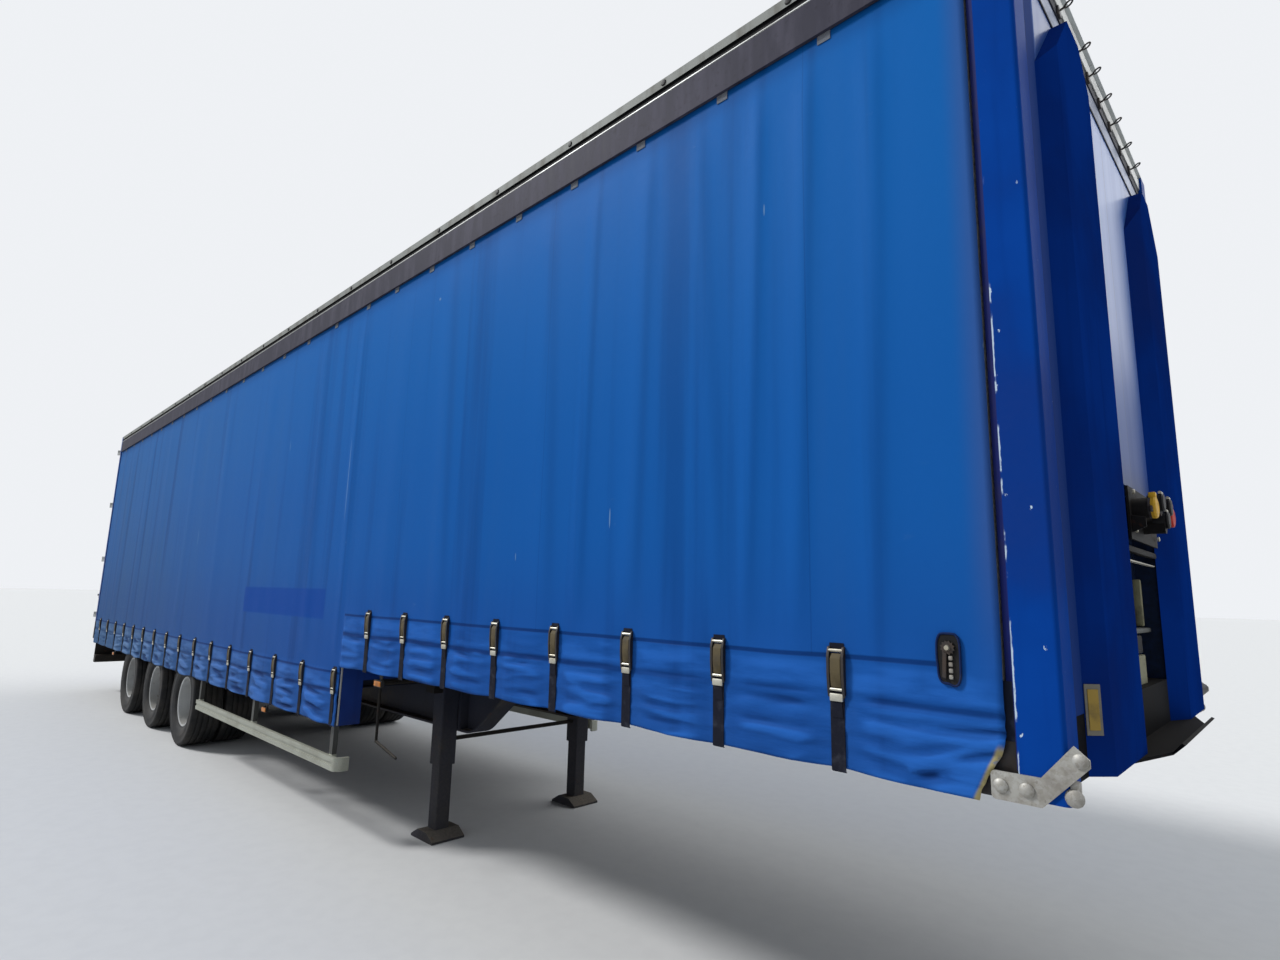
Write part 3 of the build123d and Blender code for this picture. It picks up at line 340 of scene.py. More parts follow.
@dataclass(frozen=True)
class CurtainCloth(Finish):
    """Blue coated cloth with fade, road film, welded seams, scratches and a torn corner, with painted shade and
    highlights on its creases and folds.
    """

    high: Colour = tint(10, 92, 166)
    middle: Colour = tint(14, 84, 158)
    low: Colour = tint(18, 72, 146)
    film: Colour = tint(70, 98, 128)
    # Dark of the streaks, seams and dirt, also used for the painted shade in creases and folds.
    dark: Colour = tint(8, 30, 78)
    worn: Colour = tint(120, 150, 178)
    clean: Colour = tint(14, 64, 142)
    frayed: Colour = tint(168, 156, 112)
    edge_sheen: Colour = tint(66, 80, 128)
    # Colours of the painted highlights on the band, at the front and at the rear.
    highlight_front: Colour = tint(44, 106, 192)
    highlight_rear: Colour = tint(112, 138, 172)
    step: float = 2.373
    band_low: float = 1.090
    band_high: float = 1.495
    # Folds deeper than this get painted shade along their creases.
    deep_fold: float = 0.0055
    panel_pitch: float = 1.52
    thread_scale: float = 105.0
    # X, Z, half length and half height of each scratch.
    marks: tuple[tuple[float, float, float, float], ...] = (
        (5.06, 2.02, 0.004, 0.045), (2.22, 2.48, 0.006, 0.30), (3.38, 3.56, 0.012, 0.010), (6.69, 2.45, 0.010, 0.012),
        (4.36, 1.86, 0.003, 0.020), (0.95, 2.9, 0.004, 0.05), (-1.6, 2.2, 0.005, 0.08), (5.9, 3.2, 0.003, 0.025),
    )

    def paint(self, g: Graph) -> None:
        """Fills the graph: the film first, then painted shade in the creases and under the roof rail, seams, a
        painted shadow line, painted shade and highlights on the band's folds, a painted sheen at the front edge,
        scratches and the torn edge.

        Args:
            g: Graph of the finish's material.
        """
        x, y, z = g.place
        near = y.rise(0.1, -0.1)
        rear = x.rise(4.2, -6.4)
        front = x.rise(self.step - 0.001, self.step + 0.001)
        above = z - (front * (self.band_high - self.band_low) + self.band_low)
        broad, fine = g.grain(0.55), g.grain(26.0)
        streak = g.grain(1.0, 4, (5.0, 5.0, 0.18))

        dirt = (rear * 0.60 + 0.06) * (broad * 0.9 + 0.40) * (1.10 - z.rise(0.7, 4.2) * 0.45)
        dirt = dirt + above.rise(0.04, -0.30) * (fine * 0.16 + 0.04) * (rear + 0.4)
        dirt = dirt + (streak.rise(0.54, 0.78) * 0.12 + fine.rise(0.60, 0.80) * 0.04) * (rear * 0.8 + 0.4)

        # Painted shade: darker under the roof rail and along the deeper folds.
        crease = z.rise(3.70, 3.84) * 0.35
        for at, lean, width, depth in FOLDS:
            if depth > self.deep_fold:
                gap = x - at - width * 0.7 - (z - FOLD_LEVEL) * lean
                share = abs(gap).rise(width * 0.7, 0.0) * (depth * 22)
                crease = crease + share * above.rise(0.0, 0.5) * (streak + 0.3)

        along = (1, 1, 0.01)
        wobble = g.grain(1.9, 2, along) * 0.04 - 0.02
        seam = abs(above + wobble * 0.25).rise(0.011, 0.004) * 0.66 * x.rise(6.52, 6.50)
        # Painted shadow: dark line along the band's fold ridge, also bumped as a groove.
        ridge = abs(above + 0.130 + wobble).rise(0.019, 0.005) * 0.66 * g.grain(1.3, 2, along).rise(0.25, 0.45)
        ridge = ridge * x.rise(6.2, 4.6)
        panels = x.repeat(self.panel_pitch).rise(0.0035, 0.0012) * 0.20 * above.rise(0.0, 0.01)

        # Painted highlight: light bands where the band catches the light below the seam.
        lit = above.within(-0.105, -0.018, 0.012) + above.within(-0.20, -0.150, 0.015) * 0.6
        lit = lit * g.grain(2.3, 3, (1.2, 1, 5.0)).rise(0.38, 0.62) * 0.42
        highlight_colour = g.cover(self.highlight_front, (self.highlight_rear, rear))
        patch = x.within(0.20, 2.01, 0.01) * z.within(1.45, 1.67, 0.008) * near
        # Fold attribute of the cloth: painted shade in its hollows and painted highlight on its ridges.
        fold = g.node("ShaderNodeAttribute", {"attribute_name": "fold"}, output="Fac")

        scuff = g.grain(3.2, 5, (1.0, 1.0, 3.2)).rise(0.66, 0.80) * fine.rise(0.48, 0.62) * 0.16
        for at_x, at_z, half_x, half_z in self.marks:
            spot = ((x - at_x) / half_x) ** 2.0 + ((z - at_z) / half_z) ** 2.0
            scuff = scuff + spot.rise(1.3, 0.6) * 0.55 * near
        torn = x.rise(6.57, 6.60) * z.rise(1.30, 1.27) * (x - (z - 1.14) * 0.47 - 6.608).rise(-0.022, -0.010)

        colour = g.cover(
            self.middle,
            (self.high, z.rise(2.0, 3.6)),
            (self.low, z.rise(2.1, 1.2)),
            (self.film, dirt),
            (self.dark, rear * z.rise(2.9, 1.1) * 0.20),
            (self.dark, streak.rise(0.48, 0.26) * 0.30 * (broad + 0.5)),
            # Painted shade in the creases.
            (self.dark, crease),
            # Dark seams and panel joints, with the painted shadow line of the ridge.
            (self.dark, seam + ridge + panels),
            # Painted sheen along the curtain's front edge.
            (self.edge_sheen, x.rise(6.585, 6.683) * z.rise(1.35, 1.9) * 0.50),
            # Painted highlights on the band.
            (highlight_colour, lit),
            (self.film, above.rise(0.0, -0.02) * rear * 0.35),
            (self.clean, patch * 0.85),
            # Painted shade in the wrinkles' hollows and painted highlight on their ridges.
            (self.dark, (0 - fold).rise(0.05, 0.95) * 0.62),
            (highlight_colour, fold.rise(0.10, 1.0) * 0.55),
            (self.worn, scuff),
            (self.frayed, torn * g.grain(30.0, 4).rise(0.30, 0.50)),
        )
        weave = g.ribs(self.thread_scale, Axis.X) * g.ribs(self.thread_scale, Axis.Z)
        creased = g.grain(7.0, 4, (0.6, 1.0, 2.2)) * above.rise(0.0, -0.14)
        height = weave * 0.10 + fine * 0.25 - seam - ridge + creased * 4.0
        rough = dirt * 0.25 + fine * 0.05 + 0.46
        g.surface(colour, rough, g.bump(height, 0.0030, 0.6), Specular_IOR_Level=0.02)


@dataclass(frozen=True)
class WornPaint(Finish):
    """Paint with shade changes, dust, rust and chips, more of them along given edges."""

    base: Colour
    shade: Colour
    chip: Colour = tint(196, 205, 212)
    rust: Colour = tint(92, 52, 30)
    dust: Colour = tint(128, 120, 108)
    chips: float = 0.0
    rusting: float = 0.0
    dusting: float = 0.15
    rough: float = 0.35
    coat: float = 0.0
    shine: float = 0.15
    # Axis number, place and reach of each chipped edge.
    edges: tuple[tuple[int, float, float], ...] = ()

    def paint(self, g: Graph) -> None:
        """Fills the graph.

        Args:
            g: Graph of the finish's material.
        """
        z = g.place[2]
        broad, fine, spots = g.grain(1.4, 4), g.grain(60.0, 4), g.grain(24.0, 5)
        streak = g.grain(2.0, 4, (7, 7, 0.5))
        dusty = g.facing_up() * 0.8 + broad.rise(0.45, 0.75) * 0.5 + z.rise(1.3, 0.3) * 0.35
        rusty = spots.rise(0.60, 0.70) * broad.rise(0.40, 0.60) * self.rusting
        chipped = spots.rise(0.715, 0.735) * self.chips
        for axis, at, reach in self.edges:
            gap = abs(g.place[axis] - at)
            worn = g.grain(1.7, 4).rise(0.46, 0.51) * g.grain(9.0, 4).rise(0.42, 0.50)
            line = (gap + g.grain(38.0, 4) * reach * 0.9).rise(reach * 0.95, reach * 0.75) * worn
            nicks = g.grain(40.0, 4, (1, 1, 0.55)) + gap.rise(reach * 5, 0.0) * 0.05
            nicks = nicks.rise(0.728, 0.743) * z.rise(3.4, 2.4)
            chipped = chipped + line + nicks * gap.rise(reach * 14, reach * 10)
        colour = g.cover(
            self.base,
            (self.shade, broad.rise(0.35, 0.68)),
            (self.shade, streak.rise(0.50, 0.72) * 0.5),
            (self.dust, dusty * self.dusting * (0.5 + fine)),
            (self.rust, rusty),
            (self.chip, chipped),
        )
        rough = self.rough + dusty * self.dusting * 0.6 + rusty * 0.4 + fine * 0.06
        bent = g.bump(fine * 0.25 - chipped * 0.8 + rusty * fine, 0.0008, 0.5)
        g.surface(colour, rough, bent, Coat_Weight=self.coat, Specular_IOR_Level=self.shine)


@dataclass(frozen=True)
class BareMetal(Finish):
    """Metal with spangle or drawn lines, stains and dirt."""

    base: Colour
    stain: Colour = tint(88, 84, 78)
    spangle: float = 0.0
    drawn: Point = (1.0, 1.0, 1.0)
    staining: float = 0.4
    rough: float = 0.45
    metal: float = 0.6
    dark_above: float = 99.0

    def paint(self, g: Graph) -> None:
        """Fills the graph.

        Args:
            g: Graph of the finish's material.
        """
        lines, broad, fine = g.grain(30.0, 3, self.drawn), g.grain(2.4, 5), g.grain(90.0)
        stained = broad.rise(0.42, 0.72) * self.staining + fine.rise(0.60, 0.75) * self.staining * 0.4
        colour = g.cover(
            self.base,
            (tint(235, 238, 240), g.cells(110.0) * self.spangle),
            (self.stain, lines.rise(0.42, 0.70) * 0.30),
            (self.stain, stained),
            (tint(36, 36, 38), g.place[2].rise(self.dark_above - 0.004, self.dark_above) * 0.9),
        )
        rough = self.rough + stained * 0.25 + lines * 0.08
        g.surface(colour, rough, g.bump(lines * 0.5 + fine * 0.3, 0.0005, 0.5), Metallic=self.metal)


@dataclass(frozen=True)
class RailMetal(Finish):
    """Dark dusty roof rail with a bright lip, a black band painted as the shade of the gap under the strip, and a
    pale top strip.
    """

    face: Colour = tint(52, 51, 62)
    lip: Colour = tint(160, 160, 157)
    gap_shade: Colour = tint(18, 18, 20)
    strip: Colour = tint(132, 134, 130)
    lip_z: float = 4.000
    strip_low: float = 4.040

    def paint(self, g: Graph) -> None:
        """Fills the graph.

        Args:
            g: Graph of the finish's material.
        """
        z = g.place[2]
        streak, fine = g.grain(3.0, 4, (4, 4, 0.8)), g.grain(45.0, 4)
        top = z.rise(self.strip_low, self.strip_low + 0.001)
        colour = g.cover(
            self.face,
            (tint(84, 82, 94), streak.rise(0.40, 0.72) * 0.5),
            (tint(40, 38, 44), fine.rise(0.55, 0.75) * 0.5),
            # Painted shade of the gap between the lip and the strip.
            (self.gap_shade, z.rise(self.lip_z - 0.001, self.lip_z)),
            (self.strip, top),
            (tint(96, 92, 84), top * streak.rise(0.45, 0.7) * 0.6),
            (self.lip, z.within(self.lip_z - 0.006, self.lip_z + 0.001, 0.001) * (0.45 + fine * 0.8)),
        )
        bent = g.bump(fine, 0.0006, 0.4)
        g.surface(colour, 0.5 + streak * 0.2, bent, Metallic=0.04, Specular_IOR_Level=0.05)


@dataclass(frozen=True)
class GlossPanel(Finish):
    """Glossy blue front wall with a painted sky reflection that makes it paler high up and towards the middle,
    painted shade beside the columns and low down, and a strip of post blue at each side.
    """

    # Colour of the painted sky reflection on the wall.
    pale: Colour = tint(62, 102, 168)
    deep: Colour = tint(36, 68, 134)
    side: Colour = tint(16, 48, 112)
    panel_pitch: float = 0.57

    def paint(self, g: Graph) -> None:
        """Fills the graph.

        Args:
            g: Graph of the finish's material.
        """
        _, y, z = g.place
        off = abs(y)
        streak, fine = g.grain(1.6, 4, (3, 5, 0.3)), g.grain(40.0, 4)
        lines = y.repeat(self.panel_pitch).rise(0.006, 0.002)
        colour = g.cover(
            self.deep,
            # Painted reflection of the sky, paler high up and towards the middle.
            (self.pale, z.rise(1.9, 3.3) * (off.rise(0.95, 0.35) * 0.7 + 0.3)),
            (self.deep, streak.rise(0.45, 0.75) * 0.35),
            # Painted shade beside the columns low down.
            (tint(16, 24, 44), off.rise(0.80, 0.95) * z.rise(3.2, 1.6) * 0.9),
            # Painted shade: much darker below about 2 m.
            (tint(24, 28, 32), z.rise(2.30, 1.95) * (fine * 0.3 + 0.75)),
            (self.side, off.rise(1.03, 1.05) * 0.9),
            (tint(40, 50, 80), lines * 0.5),
        )
        rough = 0.24 + streak * 0.12 + off.rise(1.02, 1.04) * 0.5
        g.surface(colour, rough, g.bump(fine * 0.3 - lines, 0.0006, 0.4), Specular_IOR_Level=0.05)


@dataclass(frozen=True)
class BoardFace(Finish):
    """Coated deck boards with joints, scuffs and grain."""

    base: Colour = tint(104, 78, 56)
    board: float = 0.30

    def paint(self, g: Graph) -> None:
        """Fills the graph.

        Args:
            g: Graph of the finish's material.
        """
        grain, scuff, cells = g.grain(6.0, 5, (0.4, 9.0, 6.0)), g.grain(1.8, 5), g.cells(160.0)
        joint = g.place[1].repeat(self.board).rise(0.004, 0.001)
        colour = g.cover(
            self.base,
            (tint(62, 46, 36), grain.rise(0.40, 0.68)),
            (tint(150, 136, 116), scuff.rise(0.55, 0.75) * 0.5),
            (tint(24, 20, 18), joint),
        )
        g.surface(colour, 0.62 + scuff * 0.15, g.bump(grain * 0.4 + cells * 0.25 - joint, 0.0012, 0.6))


@dataclass(frozen=True)
class RoofSkin(Finish):
    """Pale see-through roof sheet, with dirt and the shadow of its bows."""

    base: Colour = tint(198, 203, 202)
    first_bow: float = 6.087
    bow_pitch: float = 0.7118

    def paint(self, g: Graph) -> None:
        """Fills the graph.

        Args:
            g: Graph of the finish's material.
        """
        x, y, _ = g.place
        bow = (x + self.first_bow).repeat(self.bow_pitch)
        dirt, grime = g.grain(1.1, 5, (0.6, 1.5, 1.0)), g.grain(9.0, 5, (1.0, 0.35, 1.0))
        weave = g.ribs(60.0, Axis.X) * g.ribs(60.0, Axis.Y)
        colour = g.cover(
            self.base,
            (tint(172, 174, 168), dirt.rise(0.40, 0.85) * 0.6),
            (tint(150, 152, 148), grime.rise(0.50, 0.80) * 0.35),
            (tint(128, 132, 132), bow.rise(0.030, 0.018) * 0.55),
            (tint(118, 114, 104), bow.rise(0.10, 0.02) * grime.rise(0.42, 0.66) * 0.45),
            (tint(132, 130, 122), abs(y).rise(1.06, 1.14) * 0.35 + abs(y).rise(0.006, 0.003) * 0.4),
        )
        sag = bow.rise(0.30, 0.0) * 6.0
        g.surface(colour, 0.42 + dirt * 0.2, g.bump(sag + weave * 0.2 + dirt, 0.0015, 0.6))


@dataclass(frozen=True)
class Rubber(Finish):
    """Black rubber with dust."""

    base: Colour = tint(34, 34, 36)
    dust: Colour = tint(104, 98, 90)
    dusting: float = 0.5
    scale: float = 14.0

    def paint(self, g: Graph) -> None:
        """Fills the graph.

        Args:
            g: Graph of the finish's material.
        """
        broad, fine = g.grain(self.scale * 0.3, 4), g.grain(self.scale * 6, 4)
        dusty = (broad.rise(0.35, 0.75) * 0.8 + fine.rise(0.5, 0.75) * 0.3) * self.dusting
        colour = g.cover(self.base, (self.dust, dusty))
        g.surface(colour, 0.72 + dusty * 0.2, g.bump(fine, 0.0010, 0.6), Specular_IOR_Level=0.2)


@dataclass(frozen=True)
class Webbing(Finish):
    """Woven strap, with ribs across it and worn threads."""

    base: Colour = tint(28, 30, 42)
    worn: Colour = tint(74, 76, 86)

    def paint(self, g: Graph) -> None:
        """Fills the graph.

        Args:
            g: Graph of the finish's material.
        """
        ribs, cord = g.ribs(90.0, Axis.Z), g.ribs(70.0, Axis.X)
        colour = g.cover(
            self.base,
            (self.worn, g.grain(22.0, 4).rise(0.50, 0.78) * 0.5),
            (tint(14, 14, 18), ribs.rise(0.45, 0.15) * 0.5),
        )
        g.surface(colour, 0.85, g.bump(ribs + cord * 0.4, 0.0010, 0.8), Specular_IOR_Level=0.1)


@dataclass(frozen=True)
class Moulding(Finish):
    """Moulded plastic, lens or cast part of one colour with fine grain and dirt."""

    base: Colour
    dirt: Colour = tint(56, 52, 48)
    dirty: float = 0.3
    rough: float = 0.35
    ribbed: float = 0.0
    coat: float = 0.0
    shine: float = 0.2

    def paint(self, g: Graph) -> None:
        """Fills the graph.

        Args:
            g: Graph of the finish's material.
        """
        broad, fine = g.grain(18.0, 4), g.grain(120.0)
        colour = g.cover(self.base, (self.dirt, (broad.rise(0.45, 0.75) + fine.rise(0.6, 0.8) * 0.4) * self.dirty))
        height = fine * 0.3
        if self.ribbed:
            height = height + g.ribs(self.ribbed, Axis.Z) * 1.5
        rough = self.rough + broad * 0.15
        g.surface(colour, rough, g.bump(height, 0.0008, 0.5), Coat_Weight=self.coat, Specular_IOR_Level=self.shine)


@dataclass(frozen=True)
class Ground(Finish):
    """Plain pale floor."""

    base: Colour = (0.60, 0.60, 0.595, 1.0)
    shade: Colour = (0.55, 0.55, 0.55, 1.0)

    def paint(self, g: Graph) -> None:
        """Fills the graph."""
        g.surface(g.cover(self.base, (self.shade, g.grain(9.0, 5).rise(0.35, 0.7) * 0.35)), 0.9)


BLUE_POST = WornPaint("post_blue", tint(10, 62, 144), tint(8, 50, 124), chip=tint(178, 196, 212), dusting=0.04,
                      shine=0.005, edges=((0, 6.713, 0.010),))
# Darker copy of the post blue, painted shade for the columns' forward faces.
SHADED_COLUMN_BLUE = WornPaint("column_shaded_blue", tint(8, 46, 122), tint(6, 34, 98), dusting=0.03, shine=0.0)
BLUE_PANEL = WornPaint("panel_blue", tint(14, 48, 118), tint(8, 30, 84), dusting=0.1, shine=0.1)
BLUE_DOOR = WornPaint("door_blue", tint(18, 66, 140), tint(12, 50, 116), chips=0.2, dusting=0.12)
CHASSIS = WornPaint("chassis", tint(30, 36, 52), tint(20, 24, 34), rusting=0.55, dusting=0.50, rough=0.55, shine=0.06)
BLACK = WornPaint("black_steel", tint(24, 24, 26), tint(14, 14, 16), chip=tint(90, 84, 78), chips=0.25, rusting=0.35,
                  dusting=0.25, rough=0.50, shine=0.05)
NOSE_PAINT = WornPaint("nose_paint", tint(10, 11, 15), tint(6, 7, 10), rusting=0.12, dusting=0.05, rough=0.60,
                       shine=0.02)
RIM = WornPaint("rim_paint", tint(186, 188, 188), tint(150, 152, 152), chip=tint(70, 66, 62), chips=0.4, rusting=0.40,
                dusting=0.40, rough=0.45, coat=0.1)
GALVANISED = BareMetal("galvanised", tint(150, 152, 150), spangle=0.25, staining=0.55)
FOOT_STEEL = BareMetal("foot_steel", tint(160, 158, 150), tint(84, 72, 60), 0.2, staining=0.7, metal=0.35)
GUARD_RAIL = BareMetal("guard_rail", tint(158, 160, 148), tint(104, 100, 88), drawn=(0.15, 8, 8), staining=0.5,
                       rough=0.5, metal=0.35, dark_above=0.536)
ALUMINIUM = BareMetal("drawn_aluminium", tint(166, 168, 166), drawn=(0.15, 8, 8), staining=0.35)
HEADER = BareMetal(
    "front_header", tint(130, 140, 164), tint(64, 70, 86), drawn=(8, 0.15, 8), staining=0.45, metal=0.3
)
ZINC = BareMetal("zinc", tint(182, 180, 168), tint(120, 104, 74), staining=0.45, rough=0.38, metal=0.75)
DARK_STEEL = BareMetal("dark_steel", tint(46, 47, 50), tint(74, 58, 44), rough=0.42)
TYRE = Rubber("tyre", base=tint(30, 31, 33), dusting=0.32)
RUBBER = Rubber("flap_rubber", dusting=0.6, scale=8.0)
BELLOWS = Rubber("bellows_rubber", base=tint(28, 28, 30), dusting=0.45, scale=20.0)
STRAP = Webbing("strap_webbing")
CLOTH = CurtainCloth("curtain_cloth")

FLIP = Matrix.Scale(-1, 4, (0, 1, 0))


class Shop:
    """Modelling steps on Blender's own operators, as at a bench."""

    @staticmethod
    def clear() -> None:
        """Leaves edit mode and deselects everything."""
        if bpy.context.object is not None and bpy.context.object.mode != "OBJECT":
            bpy.ops.object.mode_set(mode="OBJECT")
        bpy.ops.object.select_all(action="DESELECT")

    @staticmethod
    def pick(piece: Piece) -> None:
        """Selects one piece alone and makes it active.

        Args:
            piece: Piece to select.
        """
        Shop.clear()
        piece.select_set(True)
        bpy.context.view_layer.objects.active = piece

    @staticmethod
    def tidy(piece: Piece, finish: Finish, smooth: float = 35.0) -> Piece:
        """Applies a piece's place, smooths it by angle and gives it a finish.

        Args:
            piece: Piece to finish.
            finish: Its finish.
            smooth: Angle in degrees below which faces are smooth.

        Returns:
            The piece.
        """
        Shop.pick(piece)
        bpy.ops.object.transform_apply(location=True, rotation=True, scale=True)
        bpy.ops.object.shade_smooth_by_angle(angle=math.radians(smooth))
        piece.data.materials.clear()
        piece.data.materials.append(finish.material())
        return piece

    @staticmethod
    def block(low: Point, high: Point, finish: Finish, round_by: float = 0.003, segments: int = 2) -> Piece:
        """Box with rounded edges.

        Args:
            low: Lowest corner.
            high: Highest corner.
            finish: Its finish.
            round_by: Width of the rounding.
            segments: Faces across the rounding.

        Returns:
            The piece.
        """
        Shop.clear()
        bpy.ops.mesh.primitive_cube_add(size=1, location=[(a + b) / 2 for a, b in zip(low, high)])
        piece = bpy.context.object
        piece.scale = [abs(b - a) for a, b in zip(low, high)]
        bpy.ops.object.transform_apply(location=True, rotation=True, scale=True)
        bpy.ops.object.mode_set(mode="EDIT")
        bpy.ops.mesh.select_all(action="SELECT")
        bpy.ops.mesh.bevel(offset=round_by, segments=segments, affect="EDGES")
        bpy.ops.object.mode_set(mode="OBJECT")
        return Shop.tidy(piece, finish)

    @staticmethod
    def chain(points: Sequence[Point]) -> Piece:
        """Chain of edges through points, extruded point by point and left in edit mode, all selected.

        Args:
            points: Points of the chain.

        Returns:
            The piece.
        """
        Shop.clear()
        bpy.ops.mesh.primitive_plane_add(size=0.001, location=(0, 0, 0))
        piece = bpy.context.object
        bpy.ops.object.mode_set(mode="EDIT")
        bpy.ops.mesh.select_all(action="SELECT")
        bpy.ops.mesh.merge(type="CENTER")
        bpy.ops.transform.translate(value=tuple(points[0]))
        for start, end in zip(points, points[1:]):
            step = tuple(b - a for a, b in zip(start, end))
            bpy.ops.mesh.extrude_region_move(TRANSFORM_OT_translate={"value": step})
        bpy.ops.mesh.select_all(action="SELECT")
        return piece

    @staticmethod
    def prism(points: Sequence[Point], run: Point, finish: Finish, round_by: float = 0.0) -> Piece:
        """Closed outline drawn out along a run.

        Args:
            points: Corners of the outline, in one plane.
            run: Vector of the extrusion.
            finish: Its finish.
            round_by: Width of the edges' rounding, or 0.

        Returns:
            The piece.
        """
        piece = Shop.chain(points)
        bpy.ops.mesh.edge_face_add()
        bpy.ops.mesh.select_all(action="SELECT")
        bpy.ops.mesh.extrude_region_move(TRANSFORM_OT_translate={"value": tuple(run)})
        bpy.ops.mesh.select_all(action="SELECT")
        bpy.ops.mesh.normals_make_consistent(inside=False)
        if round_by:
            bpy.ops.mesh.bevel(offset=round_by, segments=1, affect="EDGES")
        bpy.ops.object.mode_set(mode="OBJECT")
        return Shop.tidy(piece, finish)

    @staticmethod
    def turned(
        profile: Pairs, centre: Point, axis: Axis, finish: Finish, steps: int = 32, smooth: float = 35.0,
        shell: bool = False,
    ) -> Piece:
        """Profile spun about an axis.

        Args:
            profile: Points as distance along the axis and radius.
            centre: Point on the axis where the distance is 0.
            axis: The axis.
            finish: Its finish.
            steps: Faces round the axis.
            smooth: Angle in degrees below which faces are smooth.
            shell: Whether a profile that isn't a loop stays as it is, and isn't led to the axis at its ends.

        Returns:
            The piece.
        """
        profile = list(profile)
        if profile[0] != profile[-1] and not shell:
            first = [(profile[0][0], 0.0)] if profile[0][1] else []
            last = [(profile[-1][0], 0.0)] if profile[-1][1] else []
            profile = first + profile + last
        along = Vector(axis.value)
        across = Vector((1, 0, 0)) if axis is Axis.Z else Vector((0, 0, 1))
        middle = Vector(centre)
        piece = Shop.chain([middle + along * a + across * r for a, r in profile])
        bpy.ops.mesh.spin(steps=steps, angle=math.tau, center=middle, axis=along)
        bpy.ops.mesh.select_all(action="SELECT")
        bpy.ops.mesh.remove_doubles(threshold=0.00005)
        bpy.ops.mesh.normals_make_consistent(inside=False)
        bpy.ops.object.mode_set(mode="OBJECT")
        return Shop.tidy(piece, finish, smooth)

    @staticmethod
    def wire(points: Sequence[Point], radius: float, finish: Finish, closed: bool = False) -> Piece:
        """Round bar along a smooth line through points.

        Args:
            points: Points of the line.
            radius: Radius of the bar.
            finish: Its finish.
            closed: Whether the line comes back to its start.

        Returns:
            The piece.
        """
        curve = bpy.data.curves.new("bar", "CURVE")
        curve.dimensions = "3D"
        line = curve.splines.new("NURBS")
        line.points.add(len(points) - 1)
        for target, point in zip(line.points, points):
            target.co = (*point, 1.0)
        line.order_u = 3
        line.use_endpoint_u = not closed
        line.use_cyclic_u = closed
        line.resolution_u = 4
        curve.bevel_depth = radius
        curve.bevel_resolution = 2
        curve.use_fill_caps = True
        piece = bpy.data.objects.new("bar", curve)
        bpy.context.scene.collection.objects.link(piece)
        Shop.pick(piece)
        bpy.ops.object.convert(target="MESH")
        return Shop.tidy(bpy.context.object, finish, 60)

    @staticmethod
    def copy(piece: Piece, move: Point = (0, 0, 0), turn: Matrix | None = None) -> Piece:
        """Copy with its own mesh, turned and then moved.

        Args:
            piece: Piece to copy.
            move: Way from the piece's place.
            turn: Turn or mirror about the origin before the move.

        Returns:
            The copy.
        """
        made = piece.copy()
        made.data = piece.data.copy()
        matrix = Matrix.Translation(move) @ (turn or Matrix.Identity(4))
        made.data.transform(matrix)
        if matrix.determinant() < 0:
            made.data.flip_normals()
        bpy.context.scene.collection.objects.link(made)
        return made

    @staticmethod
    def spread(pattern: Piece, moves: Iterable[Point] = (), turns: Iterable[Matrix] = ()) -> list[Piece]:
        """Copies of a pattern piece, which is then removed.

        Args:
            pattern: Piece to copy.
            moves: Way of each copy that is moved.
            turns: Turn of each copy that is turned.

        Returns:
            The copies.
        """
        copies = [Shop.copy(pattern, move) for move in moves]
        copies += [Shop.copy(pattern, turn=turn) for turn in turns]
        bpy.data.objects.remove(pattern)
        return copies

    @staticmethod
    def join(pieces: Sequence[Piece], name: str, mirrored: bool = False) -> Piece:
        """Joins pieces into one.

        Args:
            pieces: Pieces to join.
            name: Name of the joined piece.
            mirrored: Whether it goes to the other side of the trailer.

        Returns:
            The joined piece.
        """
        Shop.pick(pieces[0])
        for piece in pieces:
            piece.select_set(True)
        if len(pieces) > 1:
            bpy.ops.object.join()
        made = bpy.context.object
        made.name = made.data.name = name
        if mirrored:
            made.data.transform(FLIP)
            made.data.flip_normals()
        return made

    @staticmethod
    def both_sides(right: Piece, name: str) -> Piece:
        """Joins a right-hand piece and its mirrored copy on the left."""
        return Shop.join([right, Shop.copy(right, turn=FLIP)], name)


def at_x(x: float, pairs: Iterable[tuple[float, float]]) -> list[Point]:
    """Points at one X, from pairs of Y and Z."""
    return [(x, y, z) for y, z in pairs]


def at_y(y: float, pairs: Iterable[tuple[float, float]]) -> list[Point]:
    """Points at one Y, from pairs of X and Z."""
    return [(x, y, z) for x, z in pairs]


def report(piece: Piece, body: str) -> None:
    """Puts a piece on its body and writes it to the log.

    Args:
        piece: Finished piece.
        body: Body that carries it.
    """
    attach(piece, body)
    log.info("%s on %s: %d faces", piece.name, body, len(piece.data.polygons))


def ease(value: float, low: float, high: float) -> float:
    """Smooth step from 0 at low to 1 at high, where low may be above high."""
    share = min(1.0, max(0.0, (value - low) / (high - low)))
    return share * share * (3 - 2 * share)


def hump(value: float, width: float) -> float:
    """Bell curve that is 1 at 0 and falls off over a width."""
    return math.exp(-((value / width) ** 2))


